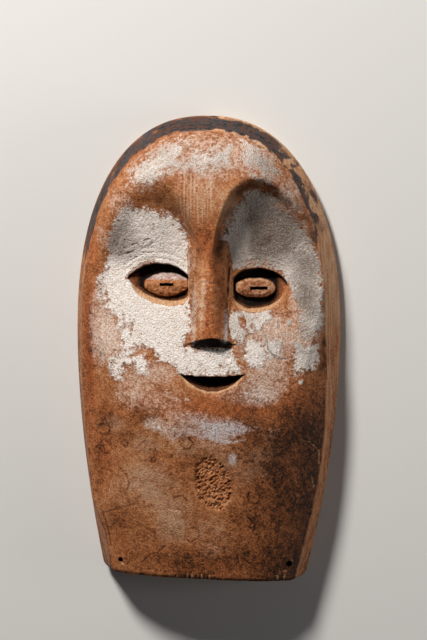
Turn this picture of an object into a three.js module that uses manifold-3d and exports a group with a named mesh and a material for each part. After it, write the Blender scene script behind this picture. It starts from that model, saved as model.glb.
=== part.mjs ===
// A carved wooden face mask, lying on its back rim with the face up.
// Millimetres. +X is the right of the face as seen, +Y runs to the crown, +Z runs out of the face,
// and the flat back rim lies in z = 0. The origin is the middle of the box on the rim plane.

import * as THREE from 'three';
import { mergeVertices } from 'three/addons/utils/BufferGeometryUtils.js';
import Module from 'manifold-3d';

const wasm = await Module();
wasm.setup();

// Outline of the back: a long arch above the widest line, tapering sides below it.
const CROWN_Y = 123;
const WIDEST_Y = 8.5;
const HALF_WIDTH = 70.3;
const ARCH_POWER = 2.3;
const SIDE_TAPER = 18.1;
const SIDE_TAPER_POWER = 1.85;
const SIDE_LENGTH = 135;
const LEAN = 1.7;
const END_Y = -121.05;
const END_SLOPE = -0.043;
const RIM_CORNER = 4.3;
const RIM_TUCK = 0.9;
const RIM_TUCK_HEIGHT = 6;

// The crisp ridge between the face and its side wall.
const RIDGE_LEFT = 66.4;
const RIDGE_RIGHT = 62;
const RIDGE_CROWN_Y = 114.2;
const RIDGE_TAPER_LEFT = 13;
const RIDGE_TAPER_RIGHT = 16.5;
const RIDGE_SWELL_RIGHT = 3;
const RIDGE_SWELL_LENGTH = 125;
const RIDGE_CORNER = 2.6;
const CORNER_FACET = 4.4;
const CORNER_FACET_TOP_Y = -78;
const CORNER_FACET_FULL_Y = -103;
const RIDGE_HEIGHT_SIDE = 21;
const RIDGE_HEIGHT_CROWN = 26;

// The shield, as it was before the face was cut into it.
const CREST = 46;
const CREST_DROP = 10.5;
const CREST_DROP_POWER = 1.15;
const SHIELD_POWER_SIDE = 3.2;
const SHIELD_POWER_CROWN = 8;
const ROOT_DIP = 2.4;

// The sunk, heart-shaped face: the middle of the slope round it as [x, y, width of the slope], from
// under the nose clockwise as seen, a floor that is lowest in a valley over the eyes and slopes up
// from it to the brows and down the cheeks, and a scoop in the floor for each eye socket.
const FACE_EDGE = [
  [1.5, 32, 5], [-1, 39, 5], [-3.5, 47, 5], [-5.5, 56, 6], [-8.8, 64, 9], [-12.5, 71, 12],
  [-20, 80, 17], [-30, 85, 23], [-38.5, 83, 24], [-46.5, 74, 22], [-52.5, 60, 18], [-56.5, 45, 12],
  [-59.5, 28, 11], [-60.5, 10, 11], [-60, -8, 12], [-56.5, -22, 15], [-49, -31, 20], [-37, -35.5, 24],
  [-20, -37, 26], [0, -37.5, 26], [20, -37, 26], [37, -34.5, 24], [49, -29.5, 18], [57, -19, 12],
  [60, -4, 7], [60.8, 12, 6], [60.5, 27, 6], [59, 42, 6], [55.5, 54, 7], [50.5, 64.5, 7],
  [44.5, 74.5, 7], [37.5, 82, 7], [30, 85.5, 7], [22.5, 85, 7], [15.5, 79.5, 6.5], [10.8, 71, 5],
  [8, 62, 5], [6.4, 54, 5], [5, 46, 5], [3.5, 39, 5],
];
const FLOOR = { x: 1, halfWidth: 56, fallLeft: 6, fallRight: 10, power: 1.7 };
const VALLEY = { y: 46, z: 29.6, brows: 0.2, cheeks: 0.21, chin: 0.16, chinY: -12, ease: 7 };
const SOCKETS = [
  { x: -22, y: 50, halfWidth: 32, halfHeight: 36, depth: 1.8, power: 1.3 },
  { x: 32, y: 49, halfWidth: 33, halfHeight: 42, depth: 5.6, power: 1.1 },
];

// The nose: a long wedge with a flat ridge, sloping flanks and an undercut end.
const NOSE_TIP = { x: 3.2, y: 5.4, z: 47 };
const NOSE_ROOT = { x: 1, y: 58, z: 43.6 };
const NOSE_RIDGE_HALF = 2.9;
const NOSE_HALF_TIP = [10.6, 9.2];
const NOSE_HALF_ROOT = [8.6, 7.2];
const NOSE_FLANK_DROP = 10;
const NOSE_UNDERCUT = 0.66;
const NOSE_STEPS = 8;
const NOSE_FADE = 22;
const NOSE_FOOT_Z = 22;

// The eyes: almond recesses with a standing eyeball in each, slit through to the back. Their floors
// are tilted like the face there, and a floor's height is its height at the middle of the ball.
const EYE_TILT = -0.24;
const EYE_WALL_TAPER = 0.06;
const EYES = [
  {
    outer: { x: -41.7, y: 36.2 }, innerX: -9.4, floor: 24.9,
    upper: { lift: 7.8, tilt: 0.6, power: 0.75 }, lower: { lift: -6.2, tilt: -9.2, power: 0.8 },
    ball: { x: -21.1, y: 33, halfWidth: 12.2, halfHeight: 6, power: 2.1, top: 29.2 },
    slit: { x: -20.9, y: 32.9, width: 7.4, height: 1.7 },
  },
  {
    outer: { x: 42.6, y: 32.6 }, innerX: 13.8, floor: 20.8,
    upper: { lift: 7.7, tilt: 2.6, power: 0.6 }, lower: { lift: -9.55, tilt: -5.3, power: 0.62 },
    ball: { x: 25.5, y: 31.3, halfWidth: 10.8, halfHeight: 4.8, power: 2.8, top: 25.3 },
    slit: { x: 27.3, y: 31, width: 9.2, height: 1.8 },
  },
];
const BALL_DRAFT = 0.12;

// The mouth: a crescent cut right through, narrower at the back.
const MOUTH = { left: -13.1, right: 20.4, cornerY: -13.7, dip: 1.2, sag: 8.8 };
const MOUTH_FRONT_Z = 38;
const MOUTH_BACK_Z = 16;
const MOUTH_BACK_RISE = 1;
const MOUTH_BACK_INSET = 2.5;

// The hollowed back.
const RIM_WIDTH = 8.5;
const BACK_DEPTH = 15;
const BACK_ROUND = 0.62;
const BACK_POWER = 3.2;

// Small marks: two cord holes by the lower corners and a pecked patch on the chin.
const CORD_HOLES = [{ x: -45.4, y: -111.9, radius: 1.3 }, { x: 43.2, y: -113.6, radius: 1.5 }];
const PATCH = { x: 4, y: -70.8, halfWidth: 8.8, halfHeight: 14.6, depth: 1, turn: 0.24 };

// Steps of the faceted surfaces.
const COLUMN_STEP = 4.8;
const COLUMN_STEP_NOSE = 3.3;
const ROW_STEP = 5.8;
const ROW_STEP_FACE = 4;
const ROW_STEP_BROW = 3.1;
const CORNER_STEPS = 4;
const BACK_RINGS = 9;
const LID_STEPS = 14;
const ROUND_STEPS = 24;
const REACH = 12;

const clamp = (value, low, high) => Math.min(high, Math.max(low, value));
const mix = (a, b, t) => a + (b - a) * t;
const smooth = (a, b, value) => {
  const t = clamp((value - a) / (b - a), 0, 1);
  return t * t * (3 - 2 * t);
};

// A loop round the mask is described by one object with these functions of height y on each side.
// Above the widest line the side bends in as a superellipse, and an angle is its station there.
function archPoint(side, halfWidth, crownY, angle) {
  const across = Math.cos(angle) ** (2 / ARCH_POWER);
  const along = Math.sin(angle) ** (2 / ARCH_POWER);
  return { x: side * halfWidth * across, y: WIDEST_Y + (crownY - WIDEST_Y) * along };
}

const lean = (y) => -LEAN * ((y - WIDEST_Y) / SIDE_LENGTH) ** 2;
const endY = (x) => END_Y + END_SLOPE * x;
const taper = (y) => Math.max(0, (WIDEST_Y - y) / SIDE_LENGTH) ** SIDE_TAPER_POWER;

// How far a rounded lower corner draws the side in, at a height above the cut end.
function cornerInset(radius, aboveEnd) {
  const short = clamp(radius - aboveEnd, 0, radius);
  return radius - Math.sqrt(radius * radius - short * short);
}

function rimLoop(inset, corner, endInset) {
  return {
    crownY: CROWN_Y - inset,
    endInset,
    corner,
    halfWidth: () => HALF_WIDTH - inset,
    lean,
    sideX: (side, y) => side * (HALF_WIDTH - inset - SIDE_TAPER * taper(y)),
  };
}

function ridgeSideX(side, y) {
  if (side < 0) {
    const facet = CORNER_FACET * smooth(CORNER_FACET_TOP_Y, CORNER_FACET_FULL_Y, y);
    return -(RIDGE_LEFT - RIDGE_TAPER_LEFT * taper(y) - facet);
  }
  const swell = RIDGE_SWELL_RIGHT * Math.sin(Math.PI * clamp((WIDEST_Y - y) / RIDGE_SWELL_LENGTH, 0, 1));
  return RIDGE_RIGHT - RIDGE_TAPER_RIGHT * taper(y) + swell;
}

const ridgeLoop = {
  crownY: RIDGE_CROWN_Y,
  endInset: 0,
  corner: RIDGE_CORNER,
  halfWidth: (side) => (side < 0 ? RIDGE_LEFT : RIDGE_RIGHT),
  lean: () => 0,
  sideX: ridgeSideX,
};

// The height at which a side runs out on the slanting cut end, settled in a few rounds.
function sideEnd(loop, side) {
  let y = END_Y;
  for (let round = 0; round < 5; round += 1) {
    y = endY(loop.sideX(side, y) + loop.lean(y) - side * loop.corner) + loop.endInset;
  }
  return y;
}

// A point of a loop at a station: from -1 at the cut end, 0 at the widest line, to 1 at the crown.
function loopPoint(loop, side, station) {
  if (station >= 0) {
    const point = archPoint(side, loop.halfWidth(side), loop.crownY, station * Math.PI / 2);
    return { x: point.x + loop.lean(point.y), y: point.y };
  }
  const bottom = sideEnd(loop, side);
  const y = mix(WIDEST_Y, bottom, -station);
  const x = loop.sideX(side, y) - side * cornerInset(loop.corner, y - bottom);
  return { x: x + loop.lean(y), y };
}

// The shield's height falls from its crest to the ridge, by how near a point is to the ridge:
// steeply close to it at the sides, and more so over the forehead.
function ridgeNearness(x, y) {
  const side = Math.sign(x) || 1;
  if (y < WIDEST_Y) return Math.min(1, Math.abs(x / ridgeSideX(side, y))) ** SHIELD_POWER_SIDE;
  const across = (Math.abs(x) / ridgeLoop.halfWidth(side)) ** ARCH_POWER;
  const along = ((y - WIDEST_Y) / (RIDGE_CROWN_Y - WIDEST_Y)) ** ARCH_POWER;
  const power = mix(SHIELD_POWER_SIDE, SHIELD_POWER_CROWN, along / (across + along + 1e-9));
  return Math.min(1, across + along) ** (power / ARCH_POWER);
}

const ridgeHeight = (y) => mix(RIDGE_HEIGHT_SIDE, RIDGE_HEIGHT_CROWN, smooth(WIDEST_Y, RIDGE_CROWN_Y, y));

// The crest stands over the middle, falls slowly to the cut end, and dips at the root of the nose.
function shieldHeight(x, y) {
  const drop = CREST_DROP * Math.max(0, (WIDEST_Y - y) / SIDE_LENGTH) ** CREST_DROP_POWER;
  const dip = ROOT_DIP * smooth(84, 52, y) * smooth(10, 30, y) * smooth(24, 9, Math.abs(x));
  const edge = ridgeHeight(y);
  return edge + (CREST - drop - dip - edge) * (1 - ridgeNearness(x, y));
}

// How deep a point lies in the sunk face, from 0 outside its edge to 1 on its floor: the signed
// distance to the edge, over the width of the slope at the nearest place on it, and the slopes are
// a little wider than the real ones so that the grid can follow them.
const SLOPE_SPARE = 2;

function sunkShare(x, y) {
  let near = Infinity;
  let width = 1;
  let inside = false;
  FACE_EDGE.forEach(([x0, y0, width0], i) => {
    const [x1, y1, width1] = FACE_EDGE[(i + 1) % FACE_EDGE.length];
    const run = x1 - x0;
    const rise = y1 - y0;
    const t = clamp(((x - x0) * run + (y - y0) * rise) / (run * run + rise * rise), 0, 1);
    const reach = Math.hypot(x - x0 - t * run, y - y0 - t * rise);
    if (reach < near) {
      near = reach;
      width = mix(width0, width1, t);
    }
    if ((y0 > y) !== (y1 > y) && x < x0 + (y - y0) * run / rise) inside = !inside;
  });
  return smooth(-0.5, 0.5, (inside ? near : -near) / (width + SLOPE_SPARE));
}

// A straight slope that eases in over a few millimetres.
const bend = (rise) => VALLEY.ease * Math.log1p(Math.exp(Math.min(rise / VALLEY.ease, 30)));

function faceFloor(x, y) {
  const fall = x < FLOOR.x ? FLOOR.fallLeft : FLOOR.fallRight;
  let z = VALLEY.z - fall * (Math.abs(x - FLOOR.x) / FLOOR.halfWidth) ** FLOOR.power;
  z += VALLEY.brows * bend(y - VALLEY.y) + VALLEY.cheeks * bend(VALLEY.y - y);
  z -= VALLEY.chin * bend(VALLEY.chinY - y);
  for (const socket of SOCKETS) {
    const across = (x - socket.x) / socket.halfWidth;
    const along = (y - socket.y) / socket.halfHeight;
    z -= socket.depth * Math.max(0, 1 - across * across - along * along) ** socket.power;
  }
  return z;
}

function faceHeight(x, y) {
  const shield = shieldHeight(x, y);
  return mix(shield, Math.min(shield, faceFloor(x, y)), sunkShare(x, y));
}

// Stations from one value to another, with a step that depends on the place.
function stations(from, to, stepAt) {
  const list = [from];
  while (to - list[list.length - 1] > stepAt(list[list.length - 1]) * 0.6) {
    const last = list[list.length - 1];
    list.push(Math.min(to, last + stepAt(last)));
  }
  list[list.length - 1] = to;
  return list;
}

const rowStep = (y) => (y > 26 ? ROW_STEP_BROW : y > -40 ? ROW_STEP_FACE : ROW_STEP);
const columnStep = (x) => (Math.abs(x) < 34 ? COLUMN_STEP_NOSE : COLUMN_STEP);

// Rows run up the sides: the rounded corner first, then by height, then up the arch to its shoulder.
const SHOULDER = 0.5;

function rowStations() {
  const rows = [];
  const cornerLength = RIM_CORNER / (WIDEST_Y - END_Y);
  for (let i = 0; i < CORNER_STEPS; i += 1) {
    rows.push(-1 + cornerLength * (1 - Math.cos(i / CORNER_STEPS * Math.PI / 2)));
  }
  const low = mix(WIDEST_Y, END_Y, 1 - cornerLength);
  for (const y of stations(low, WIDEST_Y, rowStep)) rows.push((y - WIDEST_Y) / (WIDEST_Y - END_Y));
  const shoulderY = archPoint(1, HALF_WIDTH, CROWN_Y, SHOULDER * Math.PI / 2).y;
  for (const y of stations(WIDEST_Y, shoulderY, rowStep).slice(1)) {
    const along = (y - WIDEST_Y) / (CROWN_Y - WIDEST_Y);
    rows.push(Math.asin(along ** (ARCH_POWER / 2)) / (Math.PI / 2));
  }
  return rows;
}

function columnStations() {
  return stations(-HALF_WIDTH, HALF_WIDTH, columnStep).map((x) => (x + HALF_WIDTH) / (2 * HALF_WIDTH));
}

const rows = rowStations();
const columns = columnStations();

// The arch between the shoulders, at a share of the way across from left to right.
function archAcross(loop, across) {
  const turn = Math.abs(across * 2 - 1);
  const side = across < 0.5 ? -1 : 1;
  return loopPoint(loop, side, 1 - turn * (1 - SHOULDER));
}

// A point of the face grid: straight across between the sides, lifted into the arch near the top.
const ARCH_BLEND = 4;

function facePoint(loop, across, row) {
  const station = rows[row];
  const left = loopPoint(loop, -1, station);
  const right = loopPoint(loop, 1, station);
  const shoulderLeft = loopPoint(loop, -1, SHOULDER);
  const shoulderRight = loopPoint(loop, 1, SHOULDER);
  const blend = (row / (rows.length - 1)) ** ARCH_BLEND;
  const arch = archAcross(loop, across);
  return {
    x: mix(left.x, right.x, across) + blend * (arch.x - mix(shoulderLeft.x, shoulderRight.x, across)),
    y: mix(left.y, right.y, across) + blend * (arch.y - mix(shoulderLeft.y, shoulderRight.y, across)),
  };
}

// The border of the grid, anticlockwise from the lower left corner, as [across, row] pairs.
function borderSteps() {
  const top = rows.length - 1;
  const end = columns.length - 1;
  const steps = [];
  for (let c = 0; c < end; c += 1) steps.push([c, 0]);
  for (let r = 0; r < top; r += 1) steps.push([end, r]);
  for (let c = end; c > 0; c -= 1) steps.push([c, top]);
  for (let r = top; r > 0; r -= 1) steps.push([0, r]);
  return steps;
}

const borderPoint = (loop, [column, row]) => facePoint(loop, columns[column], row);

// A closed mesh from a list of corners and a list of triangles.
function meshOf(points, triangles) {
  const geometry = new THREE.BufferGeometry();
  geometry.setAttribute('position', new THREE.Float32BufferAttribute(points.flat(), 3));
  geometry.setIndex(triangles.flat());
  return geometry;
}

// Rings of equal count, from the lowest to the highest, walled between and capped at both ends.
function loft(rings) {
  const count = rings[0].length;
  const points = rings.flat();
  const triangles = [];
  for (let r = 0; r + 1 < rings.length; r += 1) {
    for (let i = 0; i < count; i += 1) {
      const a = r * count + i;
      const b = r * count + (i + 1) % count;
      triangles.push([a, b, b + count], [a, b + count, a + count]);
    }
  }
  for (const [ring, first, flip] of [[rings[0], 0, true], [rings.at(-1), points.length - count, false]]) {
    const middle = points.length;
    points.push([0, 1, 2].map((k) => ring.reduce((sum, p) => sum + p[k], 0) / count));
    for (let i = 0; i < count; i += 1) {
      const a = first + i;
      const b = first + (i + 1) % count;
      triangles.push(flip ? [b, a, middle] : [a, b, middle]);
    }
  }
  return meshOf(points, triangles);
}

// The uncut body: the face grid, the side wall in two bands, and a flat back.
function body() {
  const width = columns.length;
  const points = [];
  for (let r = 0; r < rows.length; r += 1) {
    for (let c = 0; c < width; c += 1) {
      const { x, y } = facePoint(ridgeLoop, columns[c], r);
      points.push([x, y, faceHeight(x, y)]);
    }
  }
  const triangles = [];
  for (let r = 0; r + 1 < rows.length; r += 1) {
    for (let c = 0; c + 1 < width; c += 1) {
      const a = r * width + c;
      triangles.push([a, a + 1, a + width + 1], [a, a + width + 1, a + width]);
    }
  }
  const border = borderSteps();
  let upper = border.map(([c, r]) => r * width + c);
  const bands = [
    { loop: rimLoop(0, RIM_CORNER, 0), z: RIM_TUCK_HEIGHT },
    { loop: rimLoop(RIM_TUCK, RIM_CORNER, 0), z: 0 },
  ];
  for (const { loop, z } of bands) {
    const lower = border.map((step) => {
      const { x, y } = borderPoint(loop, step);
      return points.push([x, y, z]) - 1;
    });
    lower.forEach((a, i) => {
      const b = lower[(i + 1) % lower.length];
      triangles.push([a, b, upper[(i + 1) % lower.length]], [a, upper[(i + 1) % lower.length], upper[i]]);
    });
    upper = lower;
  }
  const contour = upper.map((i) => new THREE.Vector2(points[i][0], points[i][1]));
  for (const [a, b, c] of THREE.ShapeUtils.triangulateShape(contour, [])) {
    triangles.push([upper[c], upper[b], upper[a]]);
  }
  return meshOf(points, triangles);
}

// The hollow at the back: its inner outline, drawn in ring by ring to a shallow dome.
function backHollow() {
  const loop = rimLoop(RIM_WIDTH, RIM_CORNER * 2, RIM_WIDTH);
  const outline = borderSteps().filter((step, i) => i % 2 === 0).map((step) => borderPoint(loop, step));
  const rings = [outline.map(({ x, y }) => [x, y, -REACH])];
  const halfWidth = HALF_WIDTH - RIM_WIDTH;
  const halfLength = CROWN_Y - RIM_WIDTH;
  for (let i = 0; i < BACK_RINGS; i += 1) {
    const share = Math.cos(i / BACK_RINGS * Math.PI / 2);
    const z = BACK_DEPTH * (1 - share ** BACK_POWER) ** BACK_ROUND;
    rings.push(outline.map(({ x, y }) => {
      const round = mix(1, 1 / Math.hypot(x / halfWidth, y / halfLength), Math.sqrt(1 - share));
      return [x * share * round, y * share * round, z];
    }));
  }
  return loft(rings);
}

// The nose, section by section from its undercut end to where it sinks into the forehead.
function nose() {
  const section = (along) => {
    const x = mix(NOSE_TIP.x, NOSE_ROOT.x, along);
    const ridge = mix(NOSE_TIP.z, NOSE_ROOT.z, along);
    const foot = ridge - NOSE_FOOT_Z;
    const [left, right] = [0, 1].map((side) => {
      const half = mix(NOSE_HALF_TIP[side], NOSE_HALF_ROOT[side], along);
      return NOSE_RIDGE_HALF + foot * (half - NOSE_RIDGE_HALF) / NOSE_FLANK_DROP;
    });
    return [[x - left, ridge - foot], [x + right, ridge - foot],
      [x + NOSE_RIDGE_HALF, ridge - 0.9], [x + NOSE_RIDGE_HALF / 2, ridge],
      [x - NOSE_RIDGE_HALF / 2, ridge], [x - NOSE_RIDGE_HALF, ridge - 0.9]];
  };
  const rings = [section(0).map(([x, z]) => [x, NOSE_TIP.y - NOSE_UNDERCUT * (NOSE_TIP.z - z), z])];
  for (let i = 1; i <= NOSE_STEPS; i += 1) {
    const along = i / NOSE_STEPS;
    const y = mix(NOSE_TIP.y, NOSE_ROOT.y, along);
    rings.push(section(along).map(([x, z]) => [x, y, z]));
  }
  rings.push(section(1).map(([x, z]) => [x, NOSE_ROOT.y + NOSE_FADE, Math.min(z, NOSE_FOOT_Z + 1)]));
  return loft(rings.map((ring) => ring.slice().reverse()));
}

// The upper or lower lid of an eye at a share of the way from its outer corner to its inner end.
function lidPoint(eye, lid, share) {
  const bow = (4 * share * (1 - share)) ** lid.power;
  return { x: mix(eye.outer.x, eye.innerX, share), y: eye.outer.y + lid.lift * bow + lid.tilt * share };
}

function eyeRecess(eye) {
  const shares = Array.from({ length: LID_STEPS + 1 }, (_, i) => (1 - Math.cos(i / LID_STEPS * Math.PI)) / 2);
  const lower = shares.map((share) => lidPoint(eye, eye.lower, share));
  const upper = shares.slice(1).reverse().map((share) => lidPoint(eye, eye.upper, share));
  const outline = eye.outer.x < eye.innerX ? [...lower, ...upper] : [...lower, ...upper].reverse();
  const middle = { x: (eye.outer.x + eye.innerX) / 2, y: eye.ball.y };
  const ring = (z) => outline.map(({ x, y }) => {
    const spread = 1 - EYE_WALL_TAPER * (eye.ball.top - z) / (eye.ball.top - eye.floor);
    return [mix(middle.x, x, spread), mix(middle.y, y, spread), z + EYE_TILT * (y - eye.ball.y)];
  });
  return loft([ring(eye.floor), ring(eye.ball.top + REACH)]);
}

function eyeBall({ ball, floor }) {
  const ring = (z, grow) => Array.from({ length: ROUND_STEPS }, (_, i) => {
    const angle = i / ROUND_STEPS * Math.PI * 2;
    const across = Math.sign(Math.cos(angle)) * Math.abs(Math.cos(angle)) ** (2 / ball.power);
    const along = Math.sign(Math.sin(angle)) * Math.abs(Math.sin(angle)) ** (2 / ball.power);
    const y = (ball.halfHeight + grow) * along;
    return [ball.x + (ball.halfWidth + grow) * across, ball.y + y, z + EYE_TILT * y];
  });
  const draft = BALL_DRAFT * (ball.top - floor);
  return loft([ring(floor - 1, draft), ring(ball.top - draft, 0), ring(ball.top, -2 * draft)]);
}

function eyeSlit({ slit }) {
  return new THREE.BoxGeometry(slit.width, slit.height, CREST).translate(slit.x, slit.y, BACK_DEPTH);
}

function mouthCut() {
  const middleX = (MOUTH.left + MOUTH.right) / 2;
  const half = (MOUTH.right - MOUTH.left) / 2;
  const ring = (z) => {
    const back = (MOUTH_FRONT_Z - z) / (MOUTH_FRONT_Z - MOUTH_BACK_Z);
    const reach = half - MOUTH_BACK_INSET * back;
    const lower = [];
    const upper = [];
    for (let i = 0; i <= LID_STEPS; i += 1) {
      const side = -Math.cos(i / LID_STEPS * Math.PI);
      const bow = 1 - side * side;
      lower.push([middleX + reach * side, MOUTH.cornerY - (MOUTH.sag - MOUTH_BACK_RISE * back) * bow, z]);
      if (i > 0 && i < LID_STEPS) upper.unshift([middleX + reach * side, MOUTH.cornerY - MOUTH.dip * bow, z]);
    }
    return [...lower, ...upper];
  };
  return loft([ring(MOUTH_BACK_Z - 6), ring(MOUTH_FRONT_Z + 4)]);
}

function cordHole({ x, y, radius }) {
  const geometry = new THREE.CylinderGeometry(radius, radius, CREST * 2, 12);
  return geometry.rotateX(Math.PI / 2).translate(x, y, 0);
}

function chinPatch() {
  const geometry = new THREE.SphereGeometry(1, ROUND_STEPS, 12);
  const sag = 2.5;
  geometry.scale(PATCH.halfWidth, PATCH.halfHeight, PATCH.depth * sag);
  geometry.rotateZ(PATCH.turn);
  const drop = shieldHeight(PATCH.x, PATCH.y) + PATCH.depth * (sag - 1);
  return geometry.translate(PATCH.x, PATCH.y, drop);
}

// Booleans: a closed geometry with its shared corners merged becomes a solid, and back again.
function solid(geometry) {
  const bare = geometry.clone();
  bare.deleteAttribute('normal');
  bare.deleteAttribute('uv');
  const merged = mergeVertices(bare, 1e-4);
  return new wasm.Manifold(new wasm.Mesh({
    numProp: 3,
    vertProperties: new Float32Array(merged.attributes.position.array),
    triVerts: new Uint32Array(merged.index.array),
  }));
}

function geometryOf(manifold) {
  const mesh = manifold.getMesh();
  const geometry = new THREE.BufferGeometry();
  geometry.setAttribute('position', new THREE.Float32BufferAttribute(mesh.vertProperties, 3));
  geometry.setIndex(Array.from(mesh.triVerts));
  geometry.computeVertexNormals();
  return geometry;
}

function carvedMask() {
  let mask = solid(body()).add(solid(nose())).subtract(solid(backHollow()));
  for (const eye of EYES) {
    mask = mask.subtract(solid(eyeRecess(eye)).subtract(solid(eyeBall(eye))));
    mask = mask.subtract(solid(eyeSlit(eye)));
  }
  mask = mask.subtract(solid(mouthCut()));
  for (const hole of CORD_HOLES) mask = mask.subtract(solid(cordHole(hole)));
  return mask.subtract(solid(chinPatch()));
}

const wood = new THREE.MeshStandardMaterial({ color: 0x8a5836, roughness: 0.7, metalness: 0 });
const mask = new THREE.Mesh(geometryOf(carvedMask()), wood);
mask.name = 'mask';

const object = new THREE.Group();
object.add(mask);

export default object;
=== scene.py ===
import math

import bmesh
import bpy
import numpy as np
from mathutils import Matrix, Vector


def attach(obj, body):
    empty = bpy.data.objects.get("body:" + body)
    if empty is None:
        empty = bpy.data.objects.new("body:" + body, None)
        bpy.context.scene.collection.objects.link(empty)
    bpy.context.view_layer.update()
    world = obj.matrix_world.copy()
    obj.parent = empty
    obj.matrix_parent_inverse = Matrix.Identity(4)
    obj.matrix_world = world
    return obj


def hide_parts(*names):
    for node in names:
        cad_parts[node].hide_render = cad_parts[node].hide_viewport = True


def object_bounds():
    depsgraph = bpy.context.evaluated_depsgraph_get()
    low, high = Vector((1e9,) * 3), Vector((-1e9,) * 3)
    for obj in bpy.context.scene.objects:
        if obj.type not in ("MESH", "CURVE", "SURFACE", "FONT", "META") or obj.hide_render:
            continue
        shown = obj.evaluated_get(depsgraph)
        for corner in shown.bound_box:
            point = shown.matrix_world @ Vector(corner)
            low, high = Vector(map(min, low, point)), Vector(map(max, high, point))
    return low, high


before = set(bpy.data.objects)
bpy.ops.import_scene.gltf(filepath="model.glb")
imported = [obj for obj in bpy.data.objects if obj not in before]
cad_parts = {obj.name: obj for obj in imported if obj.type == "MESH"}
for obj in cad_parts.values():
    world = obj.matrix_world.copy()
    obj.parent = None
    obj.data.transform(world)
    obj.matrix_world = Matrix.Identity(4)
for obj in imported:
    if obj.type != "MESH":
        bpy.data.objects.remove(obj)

cad_low, cad_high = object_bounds()

# The block.
# One piece of light wood, split and hewn to a long arch over tapering sides, with its lower end
# sawn off a little askew. A crisp ridge parts the face from the side wall. Lengths are millimetres.
MM = 0.001
SKIN = 0.15
half_width = (cad_high.x - cad_low.x) / 2 / MM - SKIN
crown_y = cad_high.y / MM - SKIN
widest_y = 8.5
arch_power = 2.3
side_length = 135.0
side_taper = 18.1
side_lean = 1.7
end_y = -121.0
end_slope = -0.043
rim_corner = 4.3
rim_tuck = 0.9
rim_tuck_z = 6.0

ridge_left = 66.4
ridge_right = 62.0
ridge_left_taper = 13.0
ridge_right_taper = 16.5
ridge_facet = 4.4
ridge_swell = 3.0
ridge_crown_y = 114.2
ridge_side_z = 21.0
ridge_crown_z = 26.0
ridge_corner = 2.6

crest_z = 46.0
crest_drop = 10.5
brow_dip = 2.4


def mix(a, b, t):
    return a + (b - a) * t


def smooth(a, b, value):
    t = np.clip((value - a) / (b - a), 0.0, 1.0)
    return t * t * (3.0 - 2.0 * t)


def down_side(y):
    return np.maximum(0.0, (widest_y - y) / side_length)


def lean(y):
    return -side_lean * ((y - widest_y) / side_length) ** 2


def taper(y):
    return down_side(y) ** 1.85


def rim_side(side, y, inset):
    return side * (half_width - inset - side_taper * taper(y)) + lean(y)


def ridge_side(side, y, inset=0.0):
    """The ridge on the left has a facet cut off its lower corner, and on the right it swells."""
    facet = ridge_facet * smooth(-78.0, -103.0, y)
    swell = ridge_swell * np.sin(np.pi * np.clip((widest_y - y) / 125.0, 0.0, 1.0))
    left = -(ridge_left - ridge_left_taper * taper(y) - facet)
    right = ridge_right - ridge_right_taper * taper(y) + swell
    return np.where(side < 0, left, right)


RIM = {"side": rim_side, "left": half_width, "right": half_width, "crown": crown_y,
       "corner": rim_corner, "inset": 0.0, "end": 0.0, "lean": 1.0}
RIDGE = {"side": ridge_side, "left": ridge_left, "right": ridge_right, "crown": ridge_crown_y,
         "corner": ridge_corner, "inset": 0.0, "end": 0.0, "lean": 0.0}


def drawn_in(loop, inset, end, corner):
    """The same loop, drawn in all round by an inset, and at the sawn end by its own."""
    return {**loop, "inset": inset, "end": end, "corner": corner, "left": loop["left"] - inset,
            "right": loop["right"] - inset, "crown": loop["crown"] - inset}


def loop_point(loop, side, station):
    """A loop's point at a station: -1 at the sawn end, 0 at the widest line, 1 at the crown."""
    end = end_y
    for _ in range(5):
        corner_x = loop["side"](side, end, loop["inset"]) - side * loop["corner"]
        end = end_y + end_slope * corner_x + loop["end"]
    turn = np.clip(station, 0.0, 1.0) * np.pi / 2
    half = loop["left"] if side < 0 else loop["right"]
    arch_x = side * half * np.maximum(np.cos(turn), 0.0) ** (2 / arch_power)
    arch_y = widest_y + (loop["crown"] - widest_y) * np.sin(turn) ** (2 / arch_power)
    arch_x = arch_x + loop["lean"] * lean(arch_y)
    low_y = mix(widest_y, end, np.clip(-station, 0.0, 1.0))
    short = np.clip(loop["corner"] - (low_y - end), 0.0, loop["corner"])
    low_x = loop["side"](side, low_y, loop["inset"])
    low_x = low_x - side * (loop["corner"] - np.sqrt(loop["corner"] ** 2 - short ** 2))
    above = station > 0
    return np.where(above, arch_x, low_x), np.where(above, arch_y, low_y)


# Rows of the grid climb the sides by station: round the corner, up the side, then up the arch to its
# shoulder. Between the sides a row runs straight across, and near the top it bends with the arch.
columns = 130
shoulder = 0.5
corner_turn = np.linspace(0, np.pi / 2, 7)
corner_stations = -1 + rim_corner / (widest_y - end_y) * (1 - np.cos(corner_turn))
side_stations = np.linspace(corner_stations[-1], 0.0, 127)
shoulder_rise = np.sin(shoulder * np.pi / 2) ** (2 / arch_power)
arch_rise = np.linspace(0.0, shoulder_rise, 80)
arch_stations = np.arcsin(arch_rise ** (arch_power / 2)) / (np.pi / 2)
stations = np.concatenate([corner_stations, side_stations[1:], arch_stations[1:]])
rows = len(stations) - 1


def place(loop, across, row):
    """Where a grid point lies in a loop: across runs from 0 at the left to 1, and row from the end."""
    station = np.interp(row, np.arange(rows + 1), stations)
    turn = 1 - np.abs(across * 2 - 1) * (1 - shoulder)
    level, arch, chord = [[loop_point(loop, side, at) for side in (-1, 1)]
                          for at in (station, turn, np.float64(shoulder))]
    bend = (row / rows) ** 4
    found = []
    for axis in (0, 1):
        arched = np.where(across < 0.5, arch[0][axis], arch[1][axis])
        bent = arched - mix(chord[0][axis], chord[1][axis], across)
        found.append(mix(level[0][axis], level[1][axis], across) + bend * bent)
    return found


def ridge_z(y):
    return mix(ridge_side_z, ridge_crown_z, smooth(widest_y, ridge_crown_y, y))


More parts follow.
